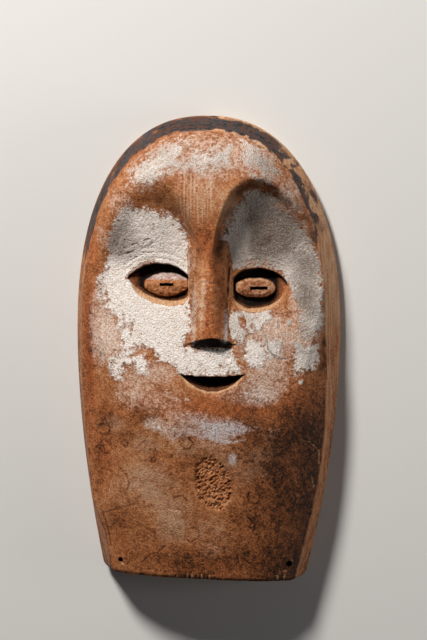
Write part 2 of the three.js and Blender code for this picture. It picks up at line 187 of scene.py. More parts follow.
def toward_ridge(x, y):
    """How near a point is to the ridge, sideways and towards the crown: on it, the two sum to 1."""
    side = np.where(x < 0, -1, 1)
    across = np.abs(x / ridge_side(side, np.minimum(y, widest_y))) ** arch_power
    along = np.maximum(0.0, (y - widest_y) / (ridge_crown_y - widest_y)) ** arch_power
    return across, along


def shield_z(x, y):
    """The block's front before the face is cut: nearly flat in the middle, rolling to the ridge."""
    across, along = toward_ridge(x, y)
    power = mix(3.2, 8.0, along / (across + along + 1e-9))
    near = np.minimum(1.0, across + along) ** (power / arch_power)
    between_brows = smooth(84.0, 52.0, y) * smooth(24.0, 9.0, np.abs(x)) * smooth(10.0, 30.0, y)
    crest = crest_z - crest_drop * down_side(y) ** 1.15 - brow_dip * between_brows
    edge = ridge_z(y)
    return edge + (crest - edge) * (1 - near)


# The sunk face.
# Below the brows the carver scooped the front down to a heart-shaped hollow, leaving the nose as a
# long wedge between the eye sockets. The nose is undercut at its end with one slanting cut.

# Each point of the hollow's edge is its place and how softly the edge rolls there.
face_edge = [
    (1.5, 32, 5), (-1, 39, 5), (-3.5, 47, 5), (-5.5, 56, 6), (-8.8, 64, 9), (-12.5, 71, 12),
    (-20, 80, 17), (-30, 85, 23), (-38.5, 83, 24), (-46.5, 74, 22), (-52.5, 60, 18), (-56.5, 45, 12),
    (-59.5, 28, 11), (-60.5, 10, 11), (-60, -8, 12), (-56.5, -22, 15), (-49, -31, 20), (-37, -35.5, 24),
    (-20, -37, 26), (0, -37.5, 26), (20, -37, 26), (37, -34.5, 24), (49, -29.5, 18), (57, -19, 12),
    (60, -4, 7), (60.8, 12, 6), (60.5, 27, 6), (59, 42, 6), (55.5, 54, 7), (50.5, 64.5, 7),
    (44.5, 74.5, 7), (37.5, 82, 7), (30, 85.5, 7), (22.5, 85, 7), (15.5, 79.5, 6.5), (10.8, 71, 5),
    (8, 62, 5), (6.4, 54, 5), (5, 46, 5), (3.5, 39, 5),
]
valley_y = 46.0
valley_z = 29.6
plane_half_width = 56.0
left_fall = 6.0
right_fall = 10.0
brow_slope = 0.2
cheek_slope = 0.21
chin_slope = 0.16
chin_y = -12.0
slope_ease = 7.0
sockets = [
    {"x": -22.0, "y": 50.0, "across": 32.0, "along": 36.0, "depth": 1.8, "power": 1.3},
    {"x": 32.0, "y": 49.0, "across": 33.0, "along": 42.0, "depth": 5.6, "power": 1.1},
]
nose_tip = {"x": 3.2, "y": 5.4, "z": 46.8, "left": 10.6, "right": 9.2}
nose_root = {"x": 1.0, "y": 58.0, "z": 43.6, "left": 8.6, "right": 7.2}
nose_flare = 2.0
nose_undercut = 0.66


def to_outline(outline, x, y):
    """Signed distance into a closed outline, and the outline's softness at the nearest place."""
    near = np.full(x.shape, 1e9)
    soft = np.ones(x.shape)
    inside = np.zeros(x.shape, bool)
    for (x0, y0, soft0), (x1, y1, soft1) in zip(outline, outline[1:] + outline[:1]):
        run, rise = x1 - x0, y1 - y0
        t = np.clip(((x - x0) * run + (y - y0) * rise) / (run * run + rise * rise), 0.0, 1.0)
        reach = np.hypot(x - x0 - t * run, y - y0 - t * rise)
        soft = np.where(reach < near, mix(soft0, soft1, t), soft)
        near = np.minimum(near, reach)
        crosses = (y0 > y) != (y1 > y)
        if rise:
            inside ^= crosses & (x < x0 + (y - y0) * run / rise)
    return np.where(inside, near, -near), soft


def sunk_share(x, y):
    inward, soft = to_outline(face_edge, x, y)
    return smooth(-0.5, 0.5, inward / soft)


def eased(rise):
    """A straight slope that eases in over a few millimetres."""
    return slope_ease * np.log1p(np.exp(np.minimum(rise / slope_ease, 30.0)))


def plane_z(x, y):
    """Deepest in a valley above the eyes, sloping up from it to the brows and down the cheeks."""
    off = x - nose_root["x"]
    z = valley_z - np.where(off < 0, left_fall, right_fall) * (np.abs(off) / plane_half_width) ** 1.7
    z = z + brow_slope * eased(y - valley_y) + cheek_slope * eased(valley_y - y)
    z = z - chin_slope * eased(chin_y - y)
    for socket in sockets:
        across = (x - socket["x"]) / socket["across"]
        along = (y - socket["y"]) / socket["along"]
        z = z - socket["depth"] * np.maximum(0.0, 1 - across ** 2 - along ** 2) ** socket["power"]
    return z


def nose_z(x, y):
    """A wedge with a rounded ridge, its left flank softer than its right one."""
    along = (y - nose_tip["y"]) / (nose_root["y"] - nose_tip["y"])

    def between(key):
        return mix(nose_tip[key], nose_root[key], along)

    off = x - between("x")
    half = np.where(off < 0, between("left"), between("right")) + nose_flare * smooth(13.0, 1.0, y)
    round_off = np.where(off < 0, 1.5, 0.55)
    ridge = np.where(off < 0, 3.6, 2.0)
    flank_slope = 10.0 / (half - ridge)
    drop = flank_slope * round_off * np.log1p(np.exp((np.abs(off) - ridge) / round_off))
    under = nose_tip["z"] - (nose_tip["y"] - y) / nose_undercut
    fade = 0.1 * np.maximum(0.0, y - nose_root["y"]) ** 1.5
    return np.minimum(between("z") - drop - fade, under)


def soft_max(a, b, reach):
    gap = np.clip(0.5 + (a - b) / (2 * reach), 0.0, 1.0)
    return mix(b, a, gap) + reach * gap * (1 - gap)


def sunk_z(x, y):
    shield = shield_z(x, y)
    face = mix(shield, np.minimum(shield, plane_z(x, y)), sunk_share(x, y))
    reach = mix(0.25, 2.0, smooth(40.0, 58.0, y))
    return soft_max(face, nose_z(x, y), reach)


# The eyes.
# Each eye is an almond sunk straight into the plane, with the eyeball left standing in it as a low
# oval and slit right through. A chamfer lights the lower lid, and two knife lines arch over the top.

# A lid is its lift, its tilt and the power of its bow. A ball is its middle, half its width and
# height, and how far its corners are whittled. A slit is its middle and its size.
left_eye = {"outer": (-41.7, 36.2), "inner": -9.4, "upper": (7.8, 0.6, 0.75),
            "lower": (-6.2, -9.2, 0.8), "ball": (-21.1, 33.0, 11.0, 5.8, 1.38), "dome": 1.3,
            "bevel": 0.9, "wear": 0.8, "chamfer": 3.4, "arcs": (2.3, 5.4), "corner": 0.22,
            "slit": (-20.9, 32.9, 7.4, 1.6), "facet": 0.75}
right_eye = {"outer": (42.6, 32.6), "inner": 13.8, "upper": (7.7, 2.6, 0.6),
             "lower": (-9.55, -5.3, 0.62), "ball": (25.5, 31.3, 9.8, 4.7, 1.5), "dome": 0.2,
             "bevel": 1.5, "wear": 0.1, "chamfer": 2.2, "arcs": (4.3, 6.7), "corner": 0.13,
             "slit": (27.3, 31.0, 9.2, 1.7), "facet": 0.0}
eyes = [left_eye, right_eye]
eye_depth = 5.6
lid_slope = 0.93
chamfer_depth = 1.5
ball_below_plane = 0.8
arc_depth = 0.55
arc_width = 0.34
lattice_size = 512


def rumple(x, y, across, along, seed):
    """Soft random relief from -1 to 1, with swells about `across` by `along` in size.

    Round swells are turned off the axes, so that their lattice doesn't show.
    """
    lattice = np.random.default_rng(seed).uniform(-1.0, 1.0, (lattice_size, lattice_size))
    turn = 0.6 if across == along else 0.0
    u = (x * math.cos(turn) + y * math.sin(turn)) / across + 200.0
    v = (y * math.cos(turn) - x * math.sin(turn)) / along + 200.0
    column = np.floor(u).astype(int)
    row = np.floor(v).astype(int)

    def knot(up, on):
        return lattice[(row + up) % lattice_size, (column + on) % lattice_size]

    s = smooth(0.0, 1.0, u - column)
    t = smooth(0.0, 1.0, v - row)
    return mix(mix(knot(0, 0), knot(0, 1), s), mix(knot(1, 0), knot(1, 1), s), t)


def lid_y(eye, lid, share):
    lift, tilt, power = eye[lid]
    bow = np.maximum(4 * share * (1 - share), 0.0) ** power
    return eye["outer"][1] + lift * bow + tilt * share


def eye_share(eye, x):
    """0 at the eye's outer corner and 1 at its inner one."""
    return (x - eye["outer"][0]) / (eye["inner"] - eye["outer"][0])


def eye_inside(eye, x, y):
    """How far inside the almond a point lies, in millimetres, and negative outside it."""
    share = np.clip(eye_share(eye, x), 0.0, 1.0)
    wander = 0.3 * rumple(x, y, 2.6, 2.6, 5)
    upper = (lid_y(eye, "upper", share) - y) * lid_slope + wander
    lower = (y - lid_y(eye, "lower", share)) * lid_slope + wander
    length = abs(eye["inner"] - eye["outer"][0])
    inner = (1 - eye_share(eye, x)) * length
    outer = eye_share(eye, x) * length * 0.8
    return np.minimum(np.minimum(upper, lower), np.minimum(inner, outer))


def ball_radius(eye, x, y):
    """0 in the middle of the eyeball and 1 at its rim, which is whittled to about eight sides."""
    ball_x, ball_y, half_x, half_y, cut = eye["ball"]
    across = np.abs(x - ball_x) / half_x
    along = np.abs(y - ball_y) / half_y
    corner = (across + along) / cut
    return (across ** 12 + along ** 12 + corner ** 12) ** (1 / 12) + 0.035 * rumple(x, y, 2.4, 2.4, 10)


def lid_chamfer(eye, x, y):
    """The cut on the lower lid, from 0 at its outer line to 1 at the lid."""
    share = eye_share(eye, x)
    below = lid_y(eye, "lower", np.clip(share, 0.0, 1.0)) - y + 0.3 * rumple(x, y, 3.0, 3.0, 6)
    near = smooth(0.02, 0.2, share) * smooth(1.06, 0.9, share)
    width = eye["chamfer"] * (0.45 + 0.55 * near)
    return np.where(y < eye["ball"][1] + 3, np.clip(1 - below / width, 0.0, 1.0), 0.0) * near


def cut_eye(eye, x, y, z):
    share = eye_share(eye, x)
    inside = eye_inside(eye, x, y)
    radius = ball_radius(eye, x, y)
    above_middle = y - eye["ball"][1]
    depth = eye_depth * mix(eye["corner"], 1.0, smooth(0.0, 0.3, share)) + 0.25 * rumple(x, y, 3, 3, 8)
    standing = smooth(1.16, 1.0, radius) * smooth(-1.2, 0.6, inside + 1.0)
    worn = np.maximum(0.0, rumple(x, y, 1.7, 1.4, 7)) * smooth(0.0, -2.0, above_middle)
    ball_drop = ball_below_plane + eye["dome"] * np.minimum(radius, 1.2) ** 2 + eye["wear"] * worn
    ball_drop = ball_drop + eye["facet"] * np.maximum(0.0, above_middle - 2.2)
    ball_drop = ball_drop + eye["bevel"] * smooth(0.72, 1.02, radius)
    drop = mix(depth, np.minimum(ball_drop, depth), standing)
    z = z - chamfer_depth * lid_chamfer(eye, x, y) * (inside < 0.3)
    for lift in eye["arcs"]:
        line = y - lid_y(eye, "upper", np.clip((share + 0.06) / 1.08, 0.0, 1.0)) - lift
        reach = smooth(-0.09, 0.02, share) * smooth(1.06, 0.93, share)
        cut_depth = arc_depth * reach * (0.75 + 0.5 * rumple(x, y, 4, 4, 9))
        z = z - cut_depth * np.exp(-(line / arc_width) ** 2)
    return z - drop * smooth(-0.15, 0.3, inside)


# The mouth.
# A crescent sawn and knifed right through, its lower wall sloping up to the back. A chamfer of bare
# wood runs along the lower lip.
mouth = {"left": -13.1, "right": 20.4, "y": -13.7, "dip": 1.2, "sag": 8.8}
lip_width = 2.5
lip_depth = 1.2


def mouth_bow(x):
    side = np.clip((x - mouth["left"]) / (mouth["right"] - mouth["left"]), 0.0, 1.0) * 2 - 1
    return 1 - side * side


def above_lip(x, y):
    return y - mouth["y"] + mouth["sag"] * mouth_bow(x)


def lip_chamfer(x, y):
    below = 0.45 * rumple(x, y, 3.0, 3.0, 21) - above_lip(x, y)
    left = smooth(mouth["left"] - 1.5, mouth["left"] + 2.5, x)
    right = smooth(mouth["right"] + 1.5, mouth["right"] - 2.5, x)
    under = y < mouth["y"] - mouth["dip"] * mouth_bow(x)
    return np.clip(1 - below / lip_width, 0.0, 1.0) * left * right * under


# Marks of the knife, and of age.
# Cracks in the crust over the left eye, stop cuts at the end of the nose, a nick across its ridge,
# scratches, a patch on the chin pecked with a point, and gouges along the sawn end.
cracks = [
    [(-46.3, 48.4), (-43.1, 49.1), (-40, 49.9), (-37.6, 51)],
    [(-39.2, 53.7), (-36.8, 54.5), (-33.7, 52.2), (-30.6, 52.9), (-28.2, 55.2)],
    [(-32.9, 56), (-29.7, 56.8)],
    [(10.1, 62), (11.2, 59)],
    [(28.9, 10.1), (31.9, 4.7), (32.3, -0.7), (36.9, -6), (42.6, -6)],
]
stop_cuts = [
    [(-6, 2.2), (-8.6, 1.7), (-10.6, 0.9), (-12.2, -0.4)],
    [(12, 1.6), (14.6, 1.4), (16.8, 1.3), (18.4, 1.5)],
    [(12.3, 42), (11.7, 36), (11.3, 24), (11.5, 14), (12.2, 8)],
]
nose_nick = [(-1.6, 33.9), (1.5, 33.4), (6.3, 33.4)]
scratches = [
    [(-48.5, -66), (-50.7, -73.9), (-52.6, -81.7)],
    [(29.3, -66.8), (31.9, -65.3)],
    [(50.3, -48.4), (53.6, -49.4), (57, -52.2), (59, -54.9), (59, -61.2)],
    [(54.9, -66.4), (56.1, -73.3)],
    [(-18.5, -83.9), (-16.5, -84.6), (-13.3, -84.3)],
    [(27.8, 107.7), (31, 106.6)],
]
inky_scratches = [
    [(-36.7, -91), (-31.3, -94.2), (-26, -97.7)],
    [(-38.2, -104.7), (-36.8, -106.7)],
    [(-54.9, -87.7), (-49.8, -85.9), (-43.6, -83.6), (-37.6, -82.2)],
    [(-10.6, -107.5), (-9.3, -110.1)],
]
stains = [
    [(-43, 36), (-46.9, 31.4), (-47.6, 26), (-49.1, 19.1), (-52, 16)],
    [(-61, -2.1), (-57.7, -1), (-55.1, -3.1), (-54.5, -6.8), (-56.1, -9.4), (-59.9, -10)],
    [(-49.5, -12.9), (-49, -7.8), (-46.4, -5.4), (-44.2, -6.1), (-43, -8.6), (-43.2, -12.3)],
    [(-13.1, -46.1), (-11.1, -47.7), (-12.6, -50.3), (-10.6, -52.4), (-8, -51.8), (-6.4, -49.2),
     (-8.5, -47.1), (-9.5, -44.6), (-11.6, -44), (-13.1, -46.1)],
    [(-54.9, -87.7), (-53.3, -91.9), (-51.8, -98.3), (-50.8, -104.7)],
    [(-33.8, -112.4), (-29.3, -107.9), (-25, -106.7), (-21.3, -103.2)],
    [(49, -62.7), (50.3, -68.6), (51.6, -72.9)],
    [(-58.4, -52.7), (-56.1, -50.9), (-53.8, -51.9), (-53.3, -54.5)],
    [(-17, -78), (-12, -76.5), (-9.5, -79)],
    [(-46, -62), (-41.5, -66), (-40, -71), (-42, -76)],
    [(22, -88), (25.5, -92), (24.5, -97)],
]
# A ring is its middle and radius, a gouge its place, width and height, and a pit its middle and size.
rings = [
    (-53.8, -42.5, 2.7), (-31, -53.7, 5.2), (-53, -52, 3.3), (-42.4, -50, 1.4), (-28.5, -56, 3.2),
    (25, -78, 3.2), (-7.5, -97, 3.6),
]
end_gouges = [
    (-16.1, 0.9, 2.5), (-13.2, 1, 3), (-10.9, 1.3, 4.2), (-8.3, 0.9, 4.6), (-5.2, 1, 3.4),
    (-3.1, 0.7, 4.8), (-0.8, 0.8, 3.6), (0.9, 0.7, 4.4), (4.5, 0.8, 2), (35.6, 1.6, 3.6),
    (39.2, 1.3, 4.6), (-33, 1.4, 1.4), (20.5, 1.6, 1.3),
]
pits = [
    (-42.5, 52, 0.8), (36, -118.5, 1.2), (-33.5, -10.5, 0.6), (12, -5.5, 0.7), (15.5, -6.2, 0.7),
    (46.5, -77, 0.8), (60.2, -12.6, 0.9), (5.5, 7.5, 0.5), (-47.7, -2, 0.5), (10.4, -20, 0.4),
]
crust = {"x": -38.0, "y": 53.0, "across": 13.0, "along": 9.0}
# A soft oval is its middle, its reach across and along, its strength, and its turn if it has one.
comb = (-4.0, 78.0, 14.0, 19.0, 1.0)
patch = {"x": 4.0, "y": -70.8, "across": 9.0, "along": 13.9, "turn": 0.24, "depth": 0.9}
crack_depth = 0.45
nick_depth = 0.5
stop_cut_depth = 0.7
scratch_depth = 0.3
peck_depth = 0.6
pit_depth = 0.7
gouge_depth = 1.5
comb_depth = 0.2


def turned(x, y, turn=0.0):
    cos, sin = math.cos(turn), math.sin(turn)
    return x * cos + y * sin, y * cos - x * sin


def spotted(spots, x, y):
    """The sum of soft ovals, each full near its middle and falling to 0 at its reach."""
    total = np.zeros(x.shape)
    for spot_x, spot_y, across, along, strength, *turn in spots:
        u, v = turned(x - spot_x, y - spot_y, *turn)
        total += strength * smooth(1.0, 0.2, np.hypot(u / across, v / along))
    return total


def close_to(line, reach, x, y):
    points = np.array(line)
    low, high = points.min(axis=0) - reach, points.max(axis=0) + reach
    return np.flatnonzero((x > low[0]) & (x < high[0]) & (y > low[1]) & (y < high[1]))


def near_lines(lines, x, y, width):
    """1 on the middle of a drawn line, falling to 0 at its width, with its ends fading out."""
    strength = np.zeros(x.shape)
    for line in lines:
        close = close_to(line, width, x, y)
        for (x0, y0), (x1, y1) in zip(line, line[1:]):
            run, rise = x1 - x0, y1 - y0
            u, v = x[close] - x0, y[close] - y0
            t = np.clip((u * run + v * rise) / (run * run + rise * rise), 0.0, 1.0)
            reach = np.hypot(u - t * run, v - t * rise)
            strength[close] = np.maximum(strength[close], smooth(width, 0.0, reach))
    return strength


def patch_share(x, y):
    u, v = turned(x - patch["x"], y - patch["y"], patch["turn"])
    away = np.hypot(u / patch["across"], v / patch["along"])
    return smooth(1.08, 0.94, away + 0.1 * rumple(x, y, 2.2, 2.2, 41))


def end_reach(x, y):
    return y - (end_y + end_slope * x)


def marks_z(x, y, z):
    z = z - crack_depth * near_lines(cracks, x, y, 0.7)
    z = z - nick_depth * near_lines([nose_nick], x, y, 0.8)
    stop_depth = stop_cut_depth * (0.75 + 0.5 * rumple(x, y, 1.5, 2.5, 16))
    z = z - stop_depth * near_lines(stop_cuts, x, y, 0.8)
    z = z - scratch_depth * near_lines(scratches + inky_scratches, x, y, 0.8)
    away = np.hypot((x - crust["x"]) / crust["across"], (y - crust["y"]) / crust["along"])
    flake = np.abs(rumple(x, y, 3.2, 2.2, 43)) + 0.5 * np.abs(rumple(x, y, 1.4, 1.0, 44))
    z = z - smooth(1.1, 0.3, away) * (0.95 * smooth(0.22, 0.0, flake) - 0.45 * flake)
    slant_x, slant_y = 0.75 * x + 0.66 * y, 0.75 * y - 0.66 * x
    peck = rumple(slant_x, slant_y, 1.3, 0.8, 45) + 0.7 * rumple(x, y, 0.8, 0.8, 46)
    z = z - patch_share(x, y) * (patch["depth"] + peck_depth * peck)
    for pit_x, pit_y, radius in pits:
        z = z - pit_depth * np.exp(-((x - pit_x) ** 2 + (y - pit_y) ** 2) / radius ** 2)
    end = end_reach(x, y)
    for gouge_x, width, height in end_gouges:
        across = np.exp(-((x - gouge_x - 0.1 * end) / width) ** 2)
        z = z - gouge_depth * across * smooth(height, 0.0, end)
    return z - (0.9 + 0.6 * rumple(x, y, 3.0, 9.0, 47)) * smooth(2.2, 0.0, end) ** 2


def face_z(x, y):
    """The finished front: the sunk face, its cuts and marks, and the waves that the blade left."""
    z = sunk_z(x, y)
    for eye in eyes:
        z = cut_eye(eye, x, y, z)
    z = marks_z(x, y, z - lip_depth * lip_chamfer(x, y))
    hewn = 0.2 * rumple(x, y, 13, 21, 1) + 0.1 * rumple(x, y, 4, 9, 2) + 0.05 * rumple(x, y, 2.6, 2.6, 3)
    grains = (0.06 + 0.09 * smooth(8.0, 22.0, x)) * rumple(x, y, 1.1, 1.1, 4) * sunk_share(x, y)
    on_ridge = np.exp(-((x - 2.6) / 6.0) ** 2) * smooth(4.0, 8.0, y) * smooth(52.0, 44.0, y)
    flaked = 0.5 * np.minimum(0.0, rumple(x, y, 1.5, 1.9, 11) + 0.25)
    chips = on_ridge * (flaked + 0.1 * rumple(x, y, 0.8, 1.0, 15))
    combing = comb_depth * spotted([comb], x, y) * np.abs(rumple(x, y, 1.1, 16.0, 12))
    return z + hewn + grains + chips - combing


def refine(bm, wanted):
    """Halves the grid's step where `wanted` says so."""
    place_now = np.array([vertex.co[:2] for vertex in bm.verts])
    inside = wanted(place_now[:, 0], place_now[:, 1])
    bm.verts.index_update()
    edges = [e for e in bm.edges if inside[e.verts[0].index] and inside[e.verts[1].index]]
    bmesh.ops.subdivide_edges(bm, edges=edges, cuts=1, use_grid_fill=True)


def features(x, y):
    on_wedge = (np.abs(x + 4) < 14) & (y < 96)
    return (x > -48) & (x < 58) & (y > -22) & ((y < 68) | on_wedge)


def crisp_lines(x, y):
    wanted = np.zeros(x.shape, bool)
    for eye in eyes:
        inside = eye_inside(eye, x, y)
        wanted |= np.abs(inside) < 1.1
        wanted |= (np.abs(ball_radius(eye, x, y) - 1.05) < 0.2) & (inside > 0)
    crease = x - mix(12.2, 8.6, (y - 5) / 55)
    wanted |= (np.abs(crease) < 1.3) & (y > -1) & (y < 56)
    wanted |= (x > -10) & (x < 17) & (y > -0.5) & (y < 6.0)
    wanted |= patch_share(x, y) > 0.05
    return wanted


def drawn_lines(x, y):
    wanted = near_lines(scratches + inky_scratches + cracks + stains, x, y, 1.6) > 0
    for ring_x, ring_y, radius in rings:
        wanted |= np.abs(np.hypot(x - ring_x, y - ring_y) - radius) < 1.8
    return (wanted | (patch_share(x, y) > 0.0) | (end_reach(x, y) < 5.0)) & ~features(x, y)


def extrude_border(bm, border):
    """Draws a border out once, and gives its new points and edges."""
    made = bmesh.ops.extrude_edge_only(bm, edges=border)["geom"]
    ring = [v for v in made if isinstance(v, bmesh.types.BMVert)]
    return ring, [e for e in made if isinstance(e, bmesh.types.BMEdge) and e.is_boundary]


def into_object(bm, name):
    """Makes an object of finished mesh work that is in millimetres."""
    bmesh.ops.recalc_face_normals(bm, faces=bm.faces)
    bmesh.ops.scale(bm, vec=(MM, MM, MM), verts=bm.verts)
    made_mesh = bpy.data.meshes.new(name)
    bm.to_mesh(made_mesh)
    bm.free()
    made = bpy.data.objects.new(name, made_mesh)
    bpy.context.collection.objects.link(made)
    return made


bm = bmesh.new()
bmesh.ops.create_grid(bm, x_segments=columns, y_segments=rows, size=1.0)
across_layer = bm.verts.layers.float.new("across")
row_layer = bm.verts.layers.float.new("row")
for vertex in bm.verts:
    vertex[across_layer] = (vertex.co.x + 1) / 2
    vertex[row_layer] = (vertex.co.y + 1) / 2 * rows


def grid_place(vertices):
    return [np.array([vertex[layer] for vertex in vertices]) for layer in (across_layer, row_layer)]


for vertex, x, y in zip(bm.verts, *place(RIDGE, *grid_place(bm.verts))):
    vertex.co = (x, y, 0.0)
refine(bm, features)
refine(bm, drawn_lines)
refine(bm, crisp_lines)
flat = np.array([vertex.co for vertex in bm.verts])
for vertex, z in zip(bm.verts, face_z(flat[:, 0], flat[:, 1])):
    vertex.co.z = z

# The side wall goes down from the ridge in rings, and the last ring is closed by a flat back.
wall_rings = [(down, 0.0) for down in (0.04, 0.12, 0.24, 0.36, 0.5, 0.65, 0.82, 1.0)]
wall_rings += [(1.0, under) for under in (0.3, 0.65, 1.0)]
border = [e for e in bm.edges if e.is_boundary]
for down, under in wall_rings:
    ring, border = extrude_border(bm, border)
    across, row = grid_place(ring)
    top_x, top_y = place(RIDGE, across, row)
    bulge_x, bulge_y = place(RIM, across, row)
    foot_x, foot_y = place(drawn_in(RIM, rim_tuck, 0.0, rim_corner), across, row)
    if under == 0.0:
        xs, ys = mix(top_x, bulge_x, down), mix(top_y, bulge_y, down)
        zs = mix(face_z(top_x, top_y), rim_tuck_z, down)
    else:
        xs, ys = mix(bulge_x, foot_x, under), mix(bulge_y, foot_y, under)
        zs = np.full(len(xs), mix(rim_tuck_z, 0.0, under))
    for vertex, x, y, z in zip(ring, xs, ys, zs):
        vertex.co = (x, y, z)
bmesh.ops.triangle_fill(bm, use_beauty=True, edges=border)
carved_mask = into_object(bm, "carved_mask")

# The openings.
# The back was hollowed with an adze to a shallow dome behind a flat rim. The slits, the mouth and the
# two cord holes go right through. Each is cut with a tool shaped here.
back_depth = 15.0
rim_width = 8.5
floor_power = 3.2
floor_round = 0.62
corner_crowding = 0.86
below_back = -12.0
through = 40.0
slit_middle_z = 34.0
mouth_front = {"z": 46.0, "half": 17.6}
mouth_back = {"z": 11.0, "half": 13.5}
wall_rise = 3.4
cord_holes = [(-45.4, -111.9, 1.3), (43.2, -113.6, 1.5)]
cord_middle_z = 10.0
cord_flare = 1.1
merge_within = 0.001
sharp_angle = 38


def cut(bm, name):
    tool = into_object(bm, name)
    boolean = carved_mask.modifiers.new(name, "BOOLEAN")
    boolean.operation = "DIFFERENCE"
    boolean.solver = "MANIFOLD"
    boolean.object = tool
    return tool


tools = []
bm = bmesh.new()
bmesh.ops.create_grid(bm, x_segments=60, y_segments=104, size=1.0)
inner_rim = drawn_in(RIM, rim_width, rim_width, rim_corner * 2)
uv = np.array([v.co[:2] for v in bm.verts])
spread = np.sin(uv * np.pi / 2 * corner_crowding) / math.sin(np.pi / 2 * corner_crowding)
hx, hy = place(inner_rim, (spread[:, 0] + 1) / 2, (spread[:, 1] + 1) / 2 * rows)
nx = hx / (half_width - rim_width - side_taper * taper(hy))
up_share = (hy - widest_y) / (crown_y - rim_width - widest_y)
down_share = (widest_y - hy) / (widest_y - end_y - rim_width)
ny = np.where(hy > widest_y, up_share, down_share)
power = np.where(hy > widest_y, arch_power, 5.0)
share = np.minimum(1.0, (np.abs(nx) ** power + np.abs(ny) ** power) ** (1 / power))
adze = 0.5 * rumple(hx, hy, 9, 22, 31) + 0.25 * rumple(hx, hy, 4, 9, 32)
hz = back_depth * (1 - share ** floor_power) ** floor_round + adze * (1 - share ** 6)
for vertex, x, y, z in zip(bm.verts, hx, hy, hz):
    vertex.co = (x, y, z)
ring, border = extrude_border(bm, [e for e in bm.edges if e.is_boundary])
for vertex in ring:
    vertex.co.z = below_back
bmesh.ops.triangle_fill(bm, use_beauty=True, edges=border)
tools.append(cut(bm, "hollow_tool"))

for i, eye in enumerate(eyes):
    slit_x, slit_y, width, height = eye["slit"]
    bm = bmesh.new()
    bmesh.ops.create_cube(bm, size=1.0)
    bmesh.ops.scale(bm, vec=(width, height, through), verts=bm.verts)
    bmesh.ops.subdivide_edges(bm, edges=bm.edges, cuts=4, use_grid_fill=True)
    bmesh.ops.translate(bm, vec=(slit_x, slit_y, slit_middle_z), verts=bm.verts)
    for vertex in bm.verts:
        vertex.co.y += 0.15 * math.sin(vertex.co.x * 1.7 + i)
    tools.append(cut(bm, f"slit_tool_{i}"))

bm = bmesh.new()
bmesh.ops.create_circle(bm, cap_ends=True, segments=72, radius=1.0)
made = bmesh.ops.extrude_face_region(bm, geom=bm.faces)["geom"]
for vertex in made:
    if isinstance(vertex, bmesh.types.BMVert):
        vertex.co.z = 1.0
upright = [e for e in bm.edges if abs(e.verts[0].co.z - e.verts[1].co.z) > 0.5]
bmesh.ops.subdivide_edges(bm, edges=upright, cuts=24)
mouth_middle = (mouth["left"] + mouth["right"]) / 2
for vertex in bm.verts:
    back = vertex.co.z
    x = mouth_middle + vertex.co.x * mix(mouth_front["half"], mouth_back["half"], back)
    bow = 1 - vertex.co.x ** 2
    dip = mouth["dip"] + 0.3 * math.sin(x * 0.9)
    groove = 0.3 * math.sin(x * 2.3) * back
    sag = mouth["sag"] + 0.2 - wall_rise * smooth(0.19, 0.36, back) + 0.15 * math.sin(x * 1.3) + groove
    y = mouth["y"] - (dip if vertex.co.y > 0 else sag) * bow
    vertex.co = (x, y, mix(mouth_front["z"], mouth_back["z"], back))
tools.append(cut(bm, "mouth_tool"))

for i, (x, y, radius) in enumerate(cord_holes):
    bm = bmesh.new()
    ends = {"radius1": radius, "radius2": radius * cord_flare, "depth": 2 * through}
    bmesh.ops.create_cone(bm, cap_ends=True, segments=20, **ends)
    bmesh.ops.translate(bm, vec=(x, y, cord_middle_z), verts=bm.verts)
    tools.append(cut(bm, f"cord_tool_{i}"))

evaluated = carved_mask.evaluated_get(bpy.context.evaluated_depsgraph_get())
mesh = bpy.data.meshes.new_from_object(evaluated)
carved_mask.modifiers.clear()
carved_mask.data = mesh
for tool in tools:
    bpy.data.objects.remove(tool)

# Cutting leaves a few points less than a micron apart, one more in some runs, and they are merged.
bm = bmesh.new()
bm.from_mesh(mesh)
bmesh.ops.remove_doubles(bm, verts=bm.verts, dist=merge_within * MM)
bm.to_mesh(mesh)
bm.free()
mesh.shade_smooth()
mesh.set_sharp_from_angle(angle=math.radians(sharp_angle))

# What covers the wood.
# White clay was rubbed into the sunk face and over the forehead, and has worn off in patches. Round
# the crown the wall is painted blue-black, and hands and knocks have rubbed edges down to bare wood.


def inside_of(outline, soft, x, y):
    """1 well inside an outline, falling to 0 across its soft edge."""
    close = close_to(outline, soft, x, y)
    share = np.zeros(x.shape)
    inward, _ = to_outline([(px, py, 1.0) for px, py in outline], x[close], y[close])
    share[close] = smooth(-soft, soft, inward)
    return share


# Where each point of the mesh lies: on the front, on the wall, in a cut's side or in the hollow.
points = np.empty(len(mesh.vertices) * 3)
mesh.vertices.foreach_get("co", points)
x, y, z = points.reshape(-1, 3).T / MM
hollow_top = 16.5
cut_below = 0.7
top = face_z(x, y)
near_ridge = np.sum(toward_ridge(x, y), axis=0)
end = end_reach(x, y)
wall = ((near_ridge > 0.998) | ((end < 0.3) & (z < top - 0.2))).astype(float)
front = ((z > top - cut_below) & (near_ridge < 1.002)).astype(float)
cut_through = ((z < top - cut_below) & (z > hollow_top) & (wall == 0)).astype(float)
raw = ((z < hollow_top) & (wall == 0) | (z < 0.5)).astype(float)
down = np.clip((ridge_z(y) - z) / (ridge_z(y) - rim_tuck_z), 0.0, 1.0)
to_edge = np.clip((1 - near_ridge) / 0.09, 0.0, 1.0)
right = x > 0

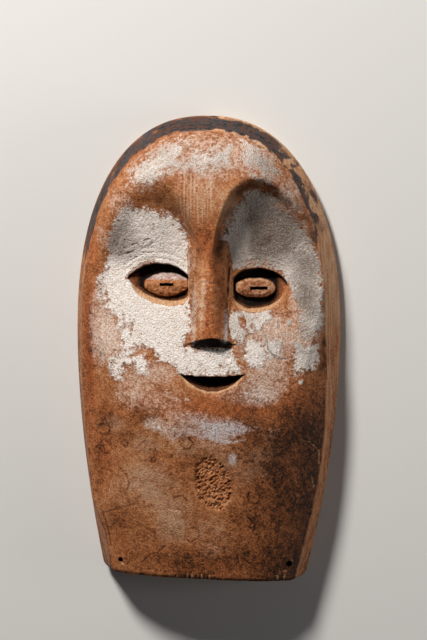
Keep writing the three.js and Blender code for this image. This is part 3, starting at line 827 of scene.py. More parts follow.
inside_eye = np.maximum(*[eye_inside(eye, x, y) for eye in eyes])
in_eye = smooth(0.0, 0.7, inside_eye)
on_ball = smooth(1.12, 1.0, np.minimum(*[ball_radius(eye, x, y) for eye in eyes])) * in_eye
chamfers = smooth(0.0, 0.35, np.maximum(*[lid_chamfer(eye, x, y) for eye in eyes])) * (1 - in_eye)
lip = smooth(0.2, 0.6, lip_chamfer(x, y)) * smooth(0.9, 0.2, above_lip(x, y)) * front
over_plane = nose_z(x, y) - plane_z(x, y)
on_nose = smooth(-0.6, 0.6, over_plane) * (y < 56)
open_wood = front * (1 - in_eye) * (1 - chamfers) * (1 - lip)
recess = front * in_eye * (1 - on_ball)

# Clay, and the thin haze of it that is left round the patches and in the grain. A clay patch is the
# softness of its edge, its strength and its outline.
clay_patches = [
    (2.6, 1, [(-29.6, 72), (-18.9, 69.1), (-13, 63.9), (-10.4, 57.4), (-7.6, 50.2), (-6.2, 44.3),
     (-8.4, 37.9), (-8.6, 30), (-8.2, 18.4), (-7.7, 8), (-11, 5.4), (-11.6, 0.9), (-8, 0), (2.2, -0.8),
     (12, 0), (14.5, -6), (17.5, -10), (17, -13), (3, -15.5), (-13.6, -12.8), (-17.5, -7.6),
     (-25.3, -6.9), (-27.9, -0.4), (-34, 0.5), (-42.9, -0.4), (-44.8, 5.4), (-46.8, 15), (-53.3, 21.7),
     (-55.9, 29.5), (-56.5, 36), (-52.4, 40.9), (-51, 48.4), (-50.2, 56.3), (-48.5, 66.1), (-43.6, 72),
     (-35.9, 72)]),
    (2.4, 0.9, [(-42.9, -0.4), (-49.4, -5), (-50, -14.1), (-46.1, -16.7), (-42.9, -16.1),
     (-42.2, -10.2), (-37, -9.5), (-34.4, -12.8), (-31.1, -12.8), (-30.5, -7.6), (-31.8, -4.3),
     (-37, -3), (-37.7, -1.1)]),
    (2.2, 1, [(24.8, 82.4), (20.3, 79.8), (18.9, 75.4), (13.7, 70.4), (10.1, 63.9), (8.3, 56.1),
     (10.4, 47), (12.4, 40), (20, 43), (31, 43.6), (38, 39.8), (43.4, 34), (47, 25), (49.4, 20),
     (49.5, 6), (53, 4.2), (58.5, 6.5), (60.4, 12), (60.5, 20.8), (61.5, 32), (59.6, 39.2), (57.4, 47.7),
     (54.4, 54.9), (51.5, 61.4), (46.9, 67.7), (39.7, 72.9), (37.4, 77.3), (32.2, 80.6)]),
    (1.6, 0.95, [(11.9, 19.7), (18.1, 19.1), (19.4, 12), (22, 7), (20.1, 0.2), (15, 3.5), (12.3, 5.5)]),
    (1.2, 1, [(19.4, 19.3), (33.5, 19), (33.8, 14.5), (28, 9.6), (24, 7.4), (20.5, 9.5)]),
    (1.8, 0.95, [(20.7, 3), (26, 4), (29.8, 1), (31, -3.5), (29.5, -9.5), (24, -10), (20.5, -6)]),
    (1.6, 0.9, [(30.5, 4), (36, 3.8), (39.6, 2.5), (38.8, -3.5), (34, -4.8), (31, -2)]),
    (1.8, 1, [(46.5, 2.6), (52, 0.5), (58, 2.5), (58.8, -6), (56.5, -11), (51, -12), (46.3, -14.5),
     (45.2, -7), (46, -3)]),
    (5.5, 0.9, [(-38.6, 86.2), (-38.2, 91.5), (-33.2, 96.7), (-27.2, 101.3), (-19, 105.5),
     (-12.5, 107.1), (-9, 100.7), (-13.5, 95.3), (-18.6, 93), (-22.5, 88.8), (-29.1, 84.6)]),
    (6, 0.85, [(-9.9, 106.8), (-5.7, 101.3), (-0.4, 101.9), (7.3, 103.6), (12.4, 103.3), (17.1, 99.6),
     (7.4, 93.9), (-0.4, 91.7), (-8.2, 92.6), (-13.5, 96.7)]),
    (5.5, 0.78, [(19.1, 106.9), (25.3, 105.6), (32.8, 100.7), (36.1, 96.8), (38.7, 91.5), (33.3, 85.6),
     (29.4, 85.2), (26.2, 88.8), (21.9, 93.7), (18.3, 98.7)]),
]
clay_spots = [
    (49.4, -18, 2.6, 2.2, 0.7), (36.6, 12.5, 1.6, 4, 0.75), (43.4, 13, 2, 3.4, 0.7),
    (21, -23.5, 2.6, 2.4, 0.55), (47.5, 16, 1.4, 6, 0.6), (13, 36, 1.6, 3.6, 0.5),
    (-9.1, -26.5, 2, 1.6, 0.55), (-24, -42, 2, 2.6, 0.5), (-27, 96.5, 15, 6, 0.2, 0.72),
    (1, 98, 8, 5, 0.15), (34, 92.5, 5, 6, 0.2, 0.3),
]
worn_spots = [
    (19, 13.5, 3, 2.4, 0.65, 0.3), (26, 15.5, 5, 1, 0.4, 0.5), (25, 11.5, 1, 4.5, 0.4, 0.4),
    (30.5, 12.5, 0.9, 4, 0.35, -0.5), (17.5, 14, 0.9, 5, 0.35, 0.2), (-46.5, 6, 3, 5, 0.5, 0.3),
    (-37.5, -4, 6, 1.4, 0.5, 0.3), (-29, 12, 1.2, 8, 0.16, 0.15), (-48, 12, 1.6, 9, 0.5, -0.2),
    (-43.5, 17, 1.2, 9, 0.45, 0.15), (-39, 8, 1, 8, 0.4, -0.2), (-52, 26, 1.4, 7, 0.4, 0.1),
    (-9.5, 101, 2.4, 6, 0.45, 0.3), (15.5, 101, 3, 7, 0.5, -0.3), (27, 92, 1.6, 7, 0.35, 0.5),
    (-15, -5.5, 5, 1.2, 0.35, 0.8), (14, 66, 3, 8, 0.3, -0.4), (33, 66, 9, 2.4, 0.3, -0.7),
    (44, 58, 2.4, 8, 0.22, 0.2), (25, 57, 2, 7, 0.2, 0.5), (52, 26, 1.6, 8, 0.18, -0.1),
    (-41, 12, 5.5, 9, 0.34), (-33, 5, 4, 3.5, 0.4), (-47, 24, 4, 4, 0.25), (-36, 23, 5, 2, 0.2, -0.3),
    (3, 60, 6, 9, 0.5), (-29, 63, 5, 3.5, 0.35), (30, 62, 15, 6, 0.22, -0.5), (36, 74, 5, 4, 0.3),
    (24, 72, 4, 3, 0.3, 0.4), (-3, -8.5, 7, 2.4, 0.3, 0.3), (9, -9, 5, 3, 0.25), (49, 40, 6, 9, 0.12),
    (18, 50, 5, 7, 0.2), (-45, 50, 6, 8, 0.15), (28, 45.5, 9, 1.6, 0.3), (-15, 98, 4, 3, 0.2),
    (52, 10, 5, 2, 0.25, 0.6), (23.5, 12, 1.2, 4, 0.4, 0.3),
]
lid_ledge = [(-42.0, 36.5), (-38.0, 40.4), (-33.0, 43.8), (-28.0, 45.4)]
haze_spots = [
    (47, 24, 7, 13, 0.45), (27, 44, 15, 5, 0.3), (-48, 14, 9, 22, 0.3), (0, 100, 52, 22, 0.52),
    (-44, 74, 12, 18, 0.42, 0.4), (-56, 12, 9, 34, 0.62), (-49, 2, 10, 18, 0.55),
    (-30, -12, 26, 11, 0.5), (32, 4, 27, 26, 0.72), (53, 4, 10, 26, 0.5), (20, -23, 24, 11, 0.42),
    (31, -26, 12, 8, 0.25), (34, -18, 20, 14, 0.4), (-24, -27, 26, 12, 0.36), (-42, -24, 14, 14, 0.3),
    (-6, 18, 3.2, 26, 0.6, -0.05), (-2, -41, 34, 10.5, 0.5), (10, -43, 17, 7, 0.5, 0.08),
    (-27, -39.5, 9, 6, 0.5, -0.3), (-9, -35, 16, 4.5, 0.2), (8, -49.5, 13, 2.4, 0.28, 0.12),
    (25, -41.5, 8, 3.5, 0.2, 0.2), (34, -44, 12, 6, 0.2, 0.2), (10.4, 13, 1.5, 13, 0.6),
    (14, -57.5, 3.2, 5.5, 0.75), (0, 80, 19, 15, 0.16), (44, 84, 12, 16, 0.4, -0.5),
    (32, 62, 34, 28, 0.6), (-30, 56, 30, 20, 0.6), (-18, -45, 8, 6, 0.3), (-38, -72, 16, 18, 0.12),
    (-12, -88, 22, 16, 0.14), (2, -104, 12, 12, 0.2), (9, 8, 3, 16, 0.3), (-55, 58, 6, 14, 0.3, 0.3),
    (-1, 24, 3, 22, 0.4, -0.05),
]
haze_lines = [
    [(0, -45.5), (7, -48), (14, -48.8), (21, -47.5)],
    [(8, -42.5), (14, -41.5), (20, -43.5)],
    [(-2, -38.5), (4, -40.5), (9, -40)],
    [(11.2, 20), (10.8, 4)],
]
clay = np.zeros(len(x))
halo = np.zeros(len(x))
for soft, strength, outline in clay_patches:
    clay = np.maximum(clay, strength * inside_of(outline, soft * 2.0, x, y))
    halo = np.maximum(halo, 0.65 * strength * inside_of(outline, 6.0, x, y))
on_ledge = near_lines([lid_ledge], x, y, 1.9)
clay = np.maximum(clay, spotted(clay_spots, x, y)) - spotted(worn_spots, x, y) - on_ledge
clay = np.clip(clay, 0.0, 1.0) * open_wood * (1 - 0.85 * on_nose)
left_top = smooth(2.0, 2.7, y - left_eye["ball"][1]) * (x < 0) * on_ball
haze = np.maximum(spotted(haze_spots, x, y), halo) * open_wood + 0.62 * left_top
haze += 0.22 * front * on_ball * right
haze = haze * (1 - 0.5 * on_nose * (x > 2.0)) + 0.5 * near_lines(haze_lines, x, y, 1.3)

# Paint on the wall, rubbed off along its edges, and a little of it along the right brow. The noise
# on the wall runs round it and down it.
rubbed_spots = [
    (44, 92, 9, 16, 1.3, 0.75), (-27, 113, 5, 4, 1, 0.4), (58, 70, 6, 16, 1.2, 0.5),
    (10, 121, 14, 2.2, 0.5), (-50, 92, 4, 12, 0.5, -0.6), (28, 116, 8, 3, 0.6, -0.4),
]
right_brow_line = [
    (7.5, 46), (8.4, 58), (11.5, 68), (16, 77), (22, 84), (31, 85.5), (40, 80.5), (47, 73), (53, 64),
    (58, 52), (61.5, 38), (63, 20), (62.5, 2), (62, -12),
]
around = np.where(x < 0, x + y, 2 * crown_y + x - y)


def wall_noise(across, along, seed):
    return rumple(around, z, across, along, seed)


painted = smooth(42.0, 64.0, y - 8.0 * right + 10.0 * wall_noise(9, 6, 61))
chipped = smooth(-0.3, 0.5, wall_noise(4.0, 2.6, 64))
rubbed = spotted(rubbed_spots, x, y) * smooth(0.2, 0.7, down + 0.3 * wall_noise(5.0, 4.0, 65))
rubbed = rubbed * (0.6 + 0.6 * chipped) + 0.8 * smooth(0.84, 1.0, down + 0.12 * wall_noise(7.0, 3.0, 69))
rubbed += 0.7 * smooth(0.2, 0.0, down) * chipped + 0.35 * smooth(0.2, 0.7, wall_noise(12.0, 5.0, 68))
rubbed = np.clip(rubbed, 0.0, 1.0)
brow_ink = 0.22 * open_wood * near_lines([right_brow_line], x, y, 4.0) * (y > 50)
ink = np.maximum(wall * painted * (1 - rubbed), brow_ink)

# Soot and dirt in the lines and cuts, dirt and painted shade along the right brow, soot and painted
# shade in the eye recesses, and painted shade in the sockets, under the nose and at the lower right.
# The first three spots paint shade into the right socket; the last two darken the wood over the left eye.
soot_and_shade_spots = [
    (31, 56, 10, 5, 0.5, 0.6), (21, 71, 4, 4, 0.3), (44, 52, 4, 6, 0.25, 0.4),
    (-37, 60, 7, 3, 0.25, 0.5), (-47, 44, 3, 7, 0.25),
]
shadow_spots = [
    (36, -64, 7, 12, 1, 0.2), (41, -50, 9, 7, 0.7, 0.4), (30, -104, 12, 8, 0.4),
]
line_soot = 0.75 * near_lines(cracks, x, y, 0.9) + 0.5 * near_lines(inky_scratches, x, y, 0.8)
# Along the right brow the wood is darker: dirt, and painted shade along the brow's edge.
brow_dirt_and_shade = (0.55 + 0.4 * rumple(x, y, 3.0, 3.0, 72)) * near_lines([right_brow_line], x, y, 6.5) * (1 - clay)
soot_and_shade = open_wood * (line_soot + brow_dirt_and_shade + spotted(soot_and_shade_spots, x, y))
corner_slope = np.zeros(len(x))
for eye in eyes:
    share = eye_share(eye, x)
    below_lid = lid_y(eye, "upper", np.clip(share, 0.0, 1.0)) - y
    near_corner = smooth(0.27, 0.1, share) * smooth(1.2, 2.4, below_lid) * (np.abs(share) < 1)
    corner_slope = np.maximum(corner_slope, near_corner * recess)
to_lid = np.where(inside_eye > 0, inside_eye, 9.0)
reddish = smooth(2.6, 0.6, to_lid) * (y < 32.0)
deep_lines = near_lines(stop_cuts, x, y, 1.0) * (0.65 + 0.7 * rumple(x, y, 1.5, 2.5, 16))
# The eye recesses go near-black: soot such as the hollows hold, and painted shade under the upper lids.
soot_and_shade += recess * (1.2 - 0.5 * reddish - 0.8 * corner_slope) + 1.2 * deep_lines
soot_and_shade += cut_through * (0.9 - 0.18 * smooth(-15.2, -17.0, y) * (np.abs(x - 3.6) < 18))
# A little darker along the right edge, from the eyes down.
soot_and_shade += 0.15 * open_wood * smooth(0.0, 0.5, 1 - to_edge) * right * (y < 30)
soot_and_shade += 0.5 * smooth(3.0, 0.0, end) * front + 0.25 * spotted(shadow_spots, x, y)
# The nose's underside is made near-black: painted shade under the nose.
shade_under_nose = smooth(0.0, 0.4, over_plane) * smooth(5.6, 4.6, y + 0.02 * (x - 3) ** 2)
soot_and_shade += 1.2 * front * shade_under_nose * (np.abs(x - 3.0) < 13)

# Dried drops have left rings and thin curved stains.
ring_stain = 0.8 * near_lines(stains, x, y, 0.9)
for ring_x, ring_y, radius in rings:
    off = np.abs(np.hypot(x - ring_x, y - ring_y) - radius - 0.8 * rumple(x, y, 2.6, 2.6, 62))
    ring_stain = np.maximum(ring_stain, smooth(0.8, 0.0, off) * smooth(-0.7, 0.2, rumple(x, y, 4, 4, 63)))
ring_stain = ring_stain * open_wood

# Bare wood on the chamfers, in the scratches, on rubbed edges and in chips.
nose_ridge = (2.0, 26.0, 6.5, 26.0, 1.0)
nose_chips = [(-1.5, 35.4), (6.8, 30.6), (0.5, 33.6), (2.6, 12.0)]
end_chips = [
    (-44.2, -114, 1.6, 1.4, 1), (-46.8, -110.2, 1.2, 0.9, 0.7, 0.6), (45, -112, 1.4, 1.2, 0.6),
    (41, -117.5, 3, 1, 0.7, 0.3),
]
bare = 0.85 * chamfers + lip + 0.25 * corner_slope + 0.28 * patch_share(x, y) * front
bare += 0.55 * front * near_lines(scratches, x, y, 0.85) + 0.95 * front * spotted(end_chips, x, y)
bare += wall * (0.35 * (1 - painted) + (0.3 + 0.25 * right) * rubbed * painted)
ball_rim = smooth(0.7, 0.86, ball_radius(right_eye, x, y)) * right
bare += front * on_ball * (0.12 - 0.08 * right + 0.38 * ball_rim)
bare += 0.5 * open_wood * spotted([(*middle, 2.0, 1.3, 1.0) for middle in nose_chips], x, y)
ridge_chips = spotted([nose_ridge], x, y) * smooth(0.25, 0.7, rumple(x, y, 0.95, 1.2, 14))
bare += 0.75 * open_wood * ridge_chips
for gouge_x, width, height in end_gouges:
    beside = np.exp(-((x - gouge_x - 0.9 * width - 0.1 * end) / (0.5 * width)) ** 2)
    bare += 0.8 * front * beside * smooth(1.25 * height, 0.3 * height, end) * smooth(-0.1, 0.5, end)
for pit_x, pit_y, radius in pits:
    bare += 0.4 * front * np.exp(-((x - pit_x - 0.8) ** 2 + (y - pit_y + 0.8) ** 2) / radius ** 2)

# How red the wood is, and how light.
rust_spots = [
    (-61.5, 2, 6, 60, 1), (-55, -50, 10, 40, 0.6, 0.1), (-60, 52, 5, 22, 0.7, 0.15),
    (3.4, 12, 6, 14, 0.7), (0, 58, 8.5, 13, 1), (4, 34, 6, 14, 0.5), (2, -31, 44, 10, 0.9),
    (34, -31, 16, 10, 0.35), (-44, -34, 16, 12, 0.45), (36, 84, 18, 5, 0.6, -0.5),
    (-34, 78, 18, 6, 0.5, 0.45), (2, -115, 40, 9, 0.3), (-46, -100, 8, 20, 0.4), (46, -26, 14, 10, 0.4),
    (0, 88, 30, 6, 0.3), (-20, -60, 14, 10, 0.25),
]
pale_spots = [
    (16, -110, 12, 9, -0.09), (24, -53, 9, 7, -0.05), (57, 60, 6, 22, -0.1, 0.35),
    (44, 81, 10, 7, -0.08, -0.7), (0, -70, 75, 55, -0.045), (-5, -100, 16, 10, 0.05),
    (21, -38, 14, 8, -0.13), (-31, -36, 14, 9, -0.18), (-10, -58, 12, 8, -0.07),
    (40, -80, 12, 22, -0.09), (47, -38, 10, 14, -0.1), (3, 26, 7, 26, 0.07), (14, 75, 8, 20, 0.16),
    (-32, -110, 16, 10, -0.05), (-62.5, -2, 5, 60, -0.2), (2, -31, 36, 8, -0.07), (-1, 80, 17, 15, 0.14),
    (-36, -70, 16, 14, 0.1), (-22, -88, 22, 20, 0.06), (4, -71, 9, 14, 0.08, 0.24),
    (-52, -36, 10, 9, -0.2), (-40, -45, 7, 6, -0.14), (-55, -60, 6, 14, -0.12), (-47, -92, 8, 16, -0.12),
    (-30, -98, 16, 6, -0.06, 0.2), (18, -88, 14, 8, -0.08, -0.2), (28, -76, 8, 12, -0.06),
    (16, -56, 10, 7, -0.07), (-20, -50, 10, 6, 0.07), (-34, -58, 8, 6, 0.08, 0.4),
    (30, -40, 16, 6, 0.05, 0.2), (-2.5, 26, 4, 26, 0.16, -0.05), (0, -60, 14, 10, -0.04),
    (36, -64, 8, 12, -0.12, 0.2), (38, -50, 12, 10, -0.12, 0.3), (30, -45, 16, 10, -0.05),
    (0, -108, 48, 16, -0.1), (24, -28, 14, 9, -0.1), (-30, -95, 18, 12, -0.05),
    (9.6, 26, 3.4, 26, -0.04, 0.05), (-48, -44, 12, 12, -0.08), (0, 56, 6, 9, -0.14),
    (-41, -108, 8, 10, -0.1), (-4, -112, 30, 9, -0.1), (-38, 72, 12, 8, -0.05, 0.4),
    (-58, -60, 5, 26, -0.12), (38, 30, 9, 10, 0.05), (-30, 90, 20, 5, 0.1, 0.5), (49, -51, 5, 6, 0.06),
    (49, -114, 6, 8, -0.06), (-48, -83, 7, 8, -0.03), (-5, -104, 8, 8, 0.04),
]
rust = open_wood * spotted(rust_spots, x, y) + 0.35 * wall * (1 - painted) + 0.7 * recess
rust += 0.6 * open_wood * smooth(0.35, 0.0, to_edge) * (y > 40) + 0.8 * cut_through
rust += 0.5 * ring_stain + 0.7 * open_wood * on_nose * (np.abs(x - 3.6) < 4.5)
shade_right = smooth(6.0, 42.0, x) * smooth(-14.0, -44.0, y)
cheek_right = smooth(40.0, 58.0, x) * smooth(20.0, -20.0, y)
tone = 0.56 + spotted(pale_spots, x, y) - 0.29 * shade_right - 0.14 * cheek_right
# The wall is lighter on the right, more so towards the top: its bare wood, and partly painted light.
wall_tone = 0.44 + right * (0.1 + 0.3 * smooth(-40.0, 20.0, y)) + 0.12 * wall_noise(24.0, 9.0, 66)
tone = mix(tone, wall_tone + 0.09 * wall_noise(8.0, 3.0, 67), wall)
tone = tone - 0.15 * recess - 0.12 * on_ball * right - 0.12 * open_wood * on_ledge
tone = tone - 0.12 * smooth(-96.0, -120.0, y) - 0.34 * ring_stain
nose_grain = 0.1 * rumple(x, y, 1.3, 7.0, 70) + 0.08 * rumple(x, y, 1.5, 1.5, 71)
tone = tone + open_wood * on_nose * nose_grain

# Painted shade on the clay, where the haze is bluish, where the wood is grey, and the comb's lines.
painted_shade_spots = [
    (32, 60, 36, 34, 1), (17, 62, 9, 22, -0.6, 0.2), (31, 56, 11, 6, 0.6, 0.6), (42, 66, 6, 9, 0.3, 0.6),
    (-45, 57, 15, 19, 0.75), (-24, 54, 20, 18, 0.18), (16, 42, 12, 10, 0.2), (48, 8, 24, 36, 0.5),
    (20, 13, 15, 18, 0.45), (54, 34, 13, 24, 0.7), (-10, 98, 62, 25, 0.36), (35, 94, 18, 17, 0.5),
    (22, 72, 8, 6, -0.2), (55, 8, 6, 8, 0.1), (-26, 101, 9, 7, 0.1, 0.5), (-2, 105, 8, 5, -0.1),
]
chill_spots = [
    (4, -43, 34, 14, 1), (10.4, 13, 3, 15, 1), (14, -57.5, 5, 8, 0.8),
]
grey_spots = [
    (-32, -72, 24, 18, 0.75, 0.3), (-16, -90, 18, 18, 0.6), (18, -60, 16, 14, 0.6),
    (-30, -50, 16, 8, 0.5), (4, -98, 16, 14, 0.35), (-48, -40, 12, 7, 0.5), (-4, -52, 26, 8, 0.5),
    (34, -58, 12, 14, 0.3),
]
comb_lines = (-4.0, 79.0, 15.0, 19.0, 1.8)
layers = {"clay": clay, "haze": haze, "ink": ink, "soot_and_shade": soot_and_shade, "bare": bare, "rust": rust, "tone": tone,
          "raw": raw, "painted_shade": spotted(painted_shade_spots, x, y), "chill": spotted(chill_spots, x, y) + left_top,
          "grey": open_wood * spotted(grey_spots, x, y),
          "combed": open_wood * np.minimum(1.0, spotted([comb_lines], x, y)) * (1 - 0.8 * clay),
          "powder": smooth(74.0, 86.0, y), "side": wall}
for name, values in layers.items():
    layer = mesh.attributes.new(name, "FLOAT", "POINT")
    layer.data.foreach_set("value", np.clip(values, 0.0, 1.0).astype(np.float32))


# The finish.
# Every cover breaks up over the grain: a cover shows where its share beats a ragged noise. The wood
# runs from near black through red-brown to bare ochre, and fine bumps follow the grain and the clay.
class Nodes:
    """Adds nodes to one tree; a value may be a number, a colour or another node's output."""

    def __init__(self, tree):
        self.tree = tree

    def fill(self, socket, value):
        if isinstance(value, bpy.types.NodeSocket):
            self.tree.links.new(value, socket)
        else:
            socket.default_value = value

    def add(self, kind, inputs=(), **settings):
        node = self.tree.nodes.new(kind)
        for name, value in settings.items():
            setattr(node, name, value)
        for socket, value in dict(inputs).items():
            self.fill(node.inputs[socket], value)
        return node

    def math(self, operation, *values):
        return self.add("ShaderNodeMath", enumerate(values), operation=operation).outputs[0]

    def times(self, a, b):
        return self.math("MULTIPLY", a, b)

    def plus(self, a, b):
        return self.math("ADD", a, b)

    def scaled(self, value, factor, added):
        return self.math("MULTIPLY_ADD", value, factor, added)

    def centred(self, value, middle=0.5):
        return self.math("SUBTRACT", value, middle)

    def remap(self, value, low, high, to_low=0.0, to_high=1.0):
        inputs = {"Value": value, "From Min": low, "From Max": high, "To Min": to_low, "To Max": to_high}
        return self.add("ShaderNodeMapRange", inputs, interpolation_type="SMOOTHSTEP").outputs["Result"]

    def noise(self, vector, scale, detail, low, high):
        """Noise of a scale per metre, spread so that it runs from 0 at `low` to 1 at `high`."""
        inputs = {"Vector": vector, "Scale": scale, "Detail": detail, "Roughness": 0.62}
        return self.remap(self.add("ShaderNodeTexNoise", inputs).outputs["Fac"], low, high)

    def stretch(self, vector, scale):
        return self.add("ShaderNodeVectorMath", {0: vector, 1: scale}, operation="MULTIPLY").outputs[0]

    def turn(self, vector, angles):
        return self.add("ShaderNodeMapping", {"Vector": vector, "Rotation": angles}).outputs[0]

    def blend(self, share, a, b, way="MIX"):
        inputs = {0: share, 6: a, 7: b}
        return self.add("ShaderNodeMix", inputs, data_type="RGBA", blend_type=way).outputs[2]

    def attribute(self, name):
        return self.add("ShaderNodeAttribute", attribute_name=name).outputs["Fac"]

    def group(self, tree, **inputs):
        return self.add("ShaderNodeGroup", inputs, node_tree=tree).outputs


def new_group(name, inputs, outputs):
    tree = bpy.data.node_groups.new(name, "ShaderNodeTree")
    for socket, kind in inputs.items():
        tree.interface.new_socket(socket, in_out="INPUT", socket_type=f"NodeSocket{kind}")
    for socket, kind in outputs.items():
        tree.interface.new_socket(socket, in_out="OUTPUT", socket_type=f"NodeSocket{kind}")
    nodes = Nodes(tree)
    return tree, nodes, nodes.add("NodeGroupInput").outputs, nodes.add("NodeGroupOutput").inputs


mottle, nodes, given, result = new_group(
    "mottle", {"Vector": "Vector"},
    {"Fine": "Float", "Middle": "Float", "Broad": "Float", "Grain": "Float", "Ragged": "Float"})
vector = nodes.turn(given["Vector"], (0.5, 0.4, 0.7))
middle = nodes.noise(vector, 320.0, 5.0, 0.34, 0.66)
broad = nodes.noise(vector, 75.0, 3.0, 0.36, 0.64)
small = nodes.noise(vector, 800.0, 4.0, 0.32, 0.68)
ragged = nodes.plus(nodes.times(middle, 0.42), nodes.times(small, 0.38))
nodes.fill(result["Fine"], nodes.noise(vector, 1100.0, 3.0, 0.32, 0.68))
nodes.fill(result["Middle"], middle)
nodes.fill(result["Broad"], broad)
fibres = nodes.stretch(given["Vector"], (900.0, 45.0, 500.0))
nodes.fill(result["Grain"], nodes.noise(fibres, 1.0, 4.0, 0.32, 0.68))
nodes.fill(result["Ragged"], nodes.plus(ragged, nodes.times(broad, 0.2)))

cover, nodes, given, result = new_group(
    "cover", {"Share": "Float", "Ragged": "Float", "Spread": "Float", "Soft": "Float"}, {"Mask": "Float"})
raised = nodes.scaled(nodes.centred(given["Ragged"]), given["Spread"], given["Share"])
low_edge = nodes.math("SUBTRACT", 0.5, given["Soft"])
nodes.fill(result["Mask"], nodes.remap(raised, low_edge, nodes.plus(0.5, given["Soft"])))

wood_tones = [(0.0, (0.018, 0.007, 0.003)), (0.2, (0.115, 0.036, 0.011)), (0.4, (0.27, 0.09, 0.028)),
              (0.6, (0.43, 0.165, 0.062)), (0.8, (0.54, 0.27, 0.13)), (1.0, (0.68, 0.42, 0.25))]
patina, nodes, given, result = new_group(
    "patina", {"Tone": "Float", "Rust": "Float", "Ragged": "Float"}, {"Color": "Color"})
ramp = nodes.add("ShaderNodeValToRGB", {"Fac": given["Tone"]})
stops = ramp.color_ramp.elements
while len(stops) < len(wood_tones):
    stops.new(0.5)
for stop, (position, colour) in zip(stops, wood_tones):
    stop.position = position
    stop.color = (*colour, 1.0)
rusty = nodes.blend(0.8, ramp.outputs["Color"], (1.0, 0.66, 0.42, 1.0), "MULTIPLY")
rust_share = nodes.times(given["Rust"], nodes.remap(given["Ragged"], 0.2, 0.75, 0.35, 1.0))
nodes.fill(result["Color"], nodes.blend(rust_share, ramp.outputs["Color"], rusty))

wood = bpy.data.materials.new("old_wood")
wood.use_nodes = True
shader = wood.node_tree.nodes["Principled BSDF"]
nodes = Nodes(wood.node_tree)
coordinates = nodes.add("ShaderNodeTexCoord").outputs["Object"]
marks = nodes.group(mottle, Vector=coordinates)
ragged, fine, grain = marks["Ragged"], marks["Fine"], marks["Grain"]
vector = nodes.turn(coordinates, (0.3, 0.6, 0.5))
shares = {name: nodes.attribute(name) for name in layers}


def cover_mask(share, spread, soft):
    return nodes.group(cover, Share=share, Ragged=ragged, Spread=spread, Soft=soft)["Mask"]


# Wood, mottled and streaked, with specks and chips in it, greyed in places and combed on the brow.
unevenness = nodes.scaled(shares["side"], -0.22, 0.5)
tone = nodes.scaled(nodes.centred(ragged, 0.54), unevenness, shares["tone"])
streaks = nodes.scaled(shares["side"], 0.3, 0.05)
tone = nodes.scaled(nodes.centred(grain), streaks, tone)
tone = nodes.plus(tone, nodes.scaled(fine, 0.24, -0.12))
tone = nodes.scaled(nodes.noise(vector, 1250.0, 1.0, 0.66, 0.72), 0.2, tone)
tone = nodes.scaled(nodes.noise(vector, 480.0, 2.0, 0.68, 0.74), 0.15, tone)
colour = nodes.group(patina, Tone=tone, Rust=shares["rust"], Ragged=ragged)["Color"]
grey_share = nodes.times(shares["grey"], nodes.remap(marks["Broad"], 0.1, 0.9, 0.25, 0.85))
colour = nodes.blend(grey_share, colour, (0.235, 0.15, 0.095, 1), "COLOR")
bare_colour = nodes.blend(grain, (0.42, 0.22, 0.11, 1), (0.68, 0.40, 0.22, 1))
colour = nodes.blend(cover_mask(shares["bare"], 0.5, 0.3), colour, bare_colour)
lines = nodes.noise(nodes.stretch(coordinates, (1150.0, 52.0, 1.0)), 1.0, 2.0, 0.46, 0.64)
line_share = nodes.times(lines, nodes.times(shares["combed"], 0.6))
colour = nodes.blend(line_share, colour, (0.62, 0.42, 0.30, 1))

# Soot and painted shade, then paint, mottled from black to slate and brown.
flecks = nodes.noise(vector, 620.0, 2.0, 0.60, 0.70)
soot_and_shade_mask = cover_mask(nodes.plus(shares["soot_and_shade"], nodes.times(flecks, 0.32)), 0.7, 0.45)
thick = nodes.remap(shares["soot_and_shade"], 0.8, 1.0)
soot_and_shade_colour = nodes.blend(thick, (0.035, 0.014, 0.007, 1), (0.006, 0.003, 0.002, 1))
soot_and_shade_share = nodes.times(soot_and_shade_mask, nodes.remap(shares["soot_and_shade"], 0.6, 1.0, 0.88, 1.0))
colour = nodes.blend(soot_and_shade_share, colour, soot_and_shade_colour)
slate = nodes.remap(ragged, 0.3, 0.65)
ink_colour = nodes.blend(slate, (0.008, 0.0075, 0.009, 1), (0.060, 0.057, 0.066, 1))
ink_colour = nodes.blend(nodes.remap(marks["Middle"], 0.4, 0.8), ink_colour, (0.085, 0.032, 0.016, 1))
colour = nodes.blend(cover_mask(shares["ink"], 0.75, 0.22), colour, ink_colour)

# Haze, thin and streaked, then clay, crumbly, with painted shade in places and dirt in its cracks.
streaked = nodes.times(nodes.remap(fine, 0.1, 0.9, 0.4, 1.0), nodes.remap(grain, 0.2, 0.8, 0.8, 1.0))
haze_mask = nodes.times(cover_mask(shares["haze"], 0.75, 0.48), streaked)
haze_mask = nodes.times(haze_mask, nodes.remap(shares["haze"], 0.04, 0.35))
haze_colour = nodes.blend(shares["chill"], (0.70, 0.59, 0.51, 1), (0.60, 0.59, 0.61, 1))
colour = nodes.blend(haze_mask, colour, haze_colour)

clay_spread = nodes.scaled(shares["powder"], -0.15, 1.0)
clay_soft = nodes.scaled(shares["powder"], 0.1, 0.25)
clay_mask = cover_mask(shares["clay"], clay_spread, clay_soft)
clay_mask = nodes.times(clay_mask, nodes.remap(shares["clay"], 0.02, 0.4))
clay_colour = nodes.blend(nodes.remap(ragged, 0.2, 0.8), (0.83, 0.73, 0.65, 1), (0.97, 0.895, 0.84, 1))
crumbs = nodes.noise(vector, 1250.0, 2.0, 0.3, 0.42)
clay_colour = nodes.blend(crumbs, (0.45, 0.31, 0.22, 1), clay_colour)
blotches = nodes.blend(0.6, marks["Middle"], marks["Broad"])
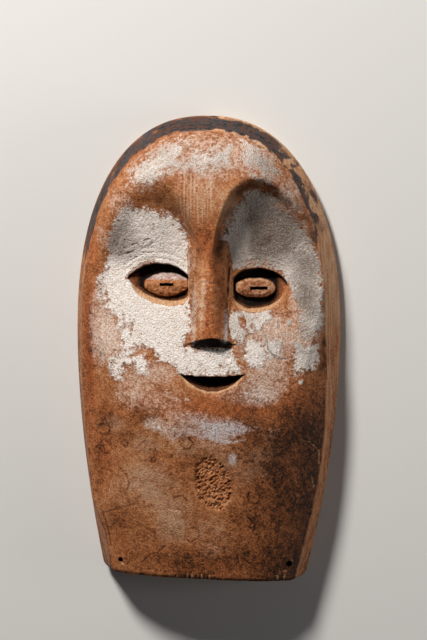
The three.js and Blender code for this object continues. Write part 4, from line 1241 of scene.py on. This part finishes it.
# Painted shade darkens the clay in the sockets, on the right cheek and across the forehead.
painted_shade = nodes.group(cover, Share=shares["painted_shade"], Ragged=blotches, Spread=0.4, Soft=0.6)["Mask"]
painted_shade = nodes.times(painted_shade, nodes.remap(fine, 0.15, 0.85, 1.0, 0.82))
clay_colour = nodes.blend(painted_shade, clay_colour, (0.19, 0.143, 0.112, 1))
line_mask = nodes.times(cover_mask(shares["soot_and_shade"], 0.4, 0.3), 0.8)
clay_colour = nodes.blend(line_mask, clay_colour, (0.10, 0.05, 0.03, 1))
colour = nodes.blend(clay_mask, colour, clay_colour)

raw_grain = nodes.scaled(grain, 0.6, 0.2)
raw_colour = nodes.blend(raw_grain, (0.15, 0.07, 0.035, 1), (0.34, 0.19, 0.1, 1))
colour = nodes.blend(shares["raw"], colour, raw_colour)

height = nodes.scaled(grain, 0.12, nodes.times(nodes.noise(vector, 950.0, 2.0, 0.3, 0.48), 0.5))
height = nodes.plus(height, nodes.times(fine, 0.4))
granules = nodes.scaled(shares["painted_shade"], nodes.times(ragged, 1.5), crumbs)
granules = nodes.scaled(granules, 0.3, nodes.times(fine, 0.6))
height = nodes.plus(height, nodes.times(clay_mask, nodes.plus(granules, 0.5)))
bump = nodes.add("ShaderNodeBump", {"Strength": 0.85, "Distance": 0.0004, "Height": height})

dull = nodes.math("MAXIMUM", clay_mask, soot_and_shade_mask)
nodes.fill(shader.inputs["Base Color"], colour)
nodes.fill(shader.inputs["Roughness"], nodes.scaled(dull, 0.36, 0.6))
nodes.fill(shader.inputs["Normal"], bump.outputs["Normal"])
nodes.fill(shader.inputs["Specular IOR Level"], 0.18)
mesh.materials.clear()
mesh.materials.append(wood)
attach(carved_mask, "root")
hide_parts("mask")

# The floor, the light and the camera.
# A plain pale floor, a soft key from beyond the crown at the left and a weaker light at the right.
bm = bmesh.new()
bmesh.ops.create_grid(bm, x_segments=1, y_segments=1, size=3000.0)
floor = into_object(bm, "floor")
floor_finish = bpy.data.materials.new("pale_floor")
floor_finish.use_nodes = True
floor_shader = floor_finish.node_tree.nodes["Principled BSDF"]
floor_shader.inputs["Base Color"].default_value = (0.7, 0.69, 0.67, 1)
floor_shader.inputs["Roughness"].default_value = 0.9
floor.data.materials.append(floor_finish)


def lamp(name, place_at, aim, size, power, colour):
    light = bpy.data.lights.new(name, "AREA")
    light.shape = "DISK"
    light.size = size
    light.energy = power
    light.color = colour
    thing = bpy.data.objects.new(name, light)
    thing.location = place_at
    direction = Vector(aim) - Vector(place_at)
    thing.rotation_euler = direction.to_track_quat("-Z", "Y").to_euler()
    bpy.context.collection.objects.link(thing)


lamp("key", (-0.46, 0.96, 0.84), (0, 0, 0.03), 0.29, 24.0, (1.0, 0.97, 0.93))
lamp("side", (0.9, -0.1, 0.35), (0, 0, 0.02), 0.35, 1.6, (1.0, 0.97, 0.95))
world = bpy.data.worlds.new("studio")
bpy.context.scene.world = world
world.use_nodes = True
world.node_tree.nodes["Background"].inputs["Color"].default_value = (0.9, 0.93, 1.0, 1)
world.node_tree.nodes["Background"].inputs["Strength"].default_value = 0.03

# The photograph is 427 by 640 pixels, and the sensor width is taken along its long side. The mask is
# 466 pixels high in it, which is 250 mm at the floor, and its origin lies at the middle pixel.
turn = math.radians(2.5)
nod = math.radians(1.0)
distance = 1.2
sensor = 36.0
frame_width = 427
frame_height = 640
middle_pixel = (209.0, 345.75)
height_at_floor = 250.0
height_in_pixels = 466.0
mm_per_pixel = height_at_floor / height_in_pixels
back_axis = Vector((math.sin(turn) * math.cos(nod), math.sin(nod), math.cos(turn) * math.cos(nod)))
right_axis = Vector((0, 1, 0)).cross(back_axis).normalized()
up_axis = back_axis.cross(right_axis)
aim_right = (frame_width / 2 - middle_pixel[0]) * mm_per_pixel * MM
aim_up = (middle_pixel[1] - frame_height / 2) * mm_per_pixel * MM
camera_data = bpy.data.cameras.new("camera")
camera_data.sensor_width = sensor
camera_data.lens = distance / (mm_per_pixel * MM) / frame_height * sensor
camera = bpy.data.objects.new("camera", camera_data)
camera.location = right_axis * aim_right + up_axis * aim_up + back_axis * distance
camera.rotation_euler = Matrix((right_axis, up_axis, back_axis)).transposed().to_euler()
bpy.context.collection.objects.link(camera)
bpy.context.scene.camera = camera

bpy.context.scene.view_settings.view_transform = "Standard"
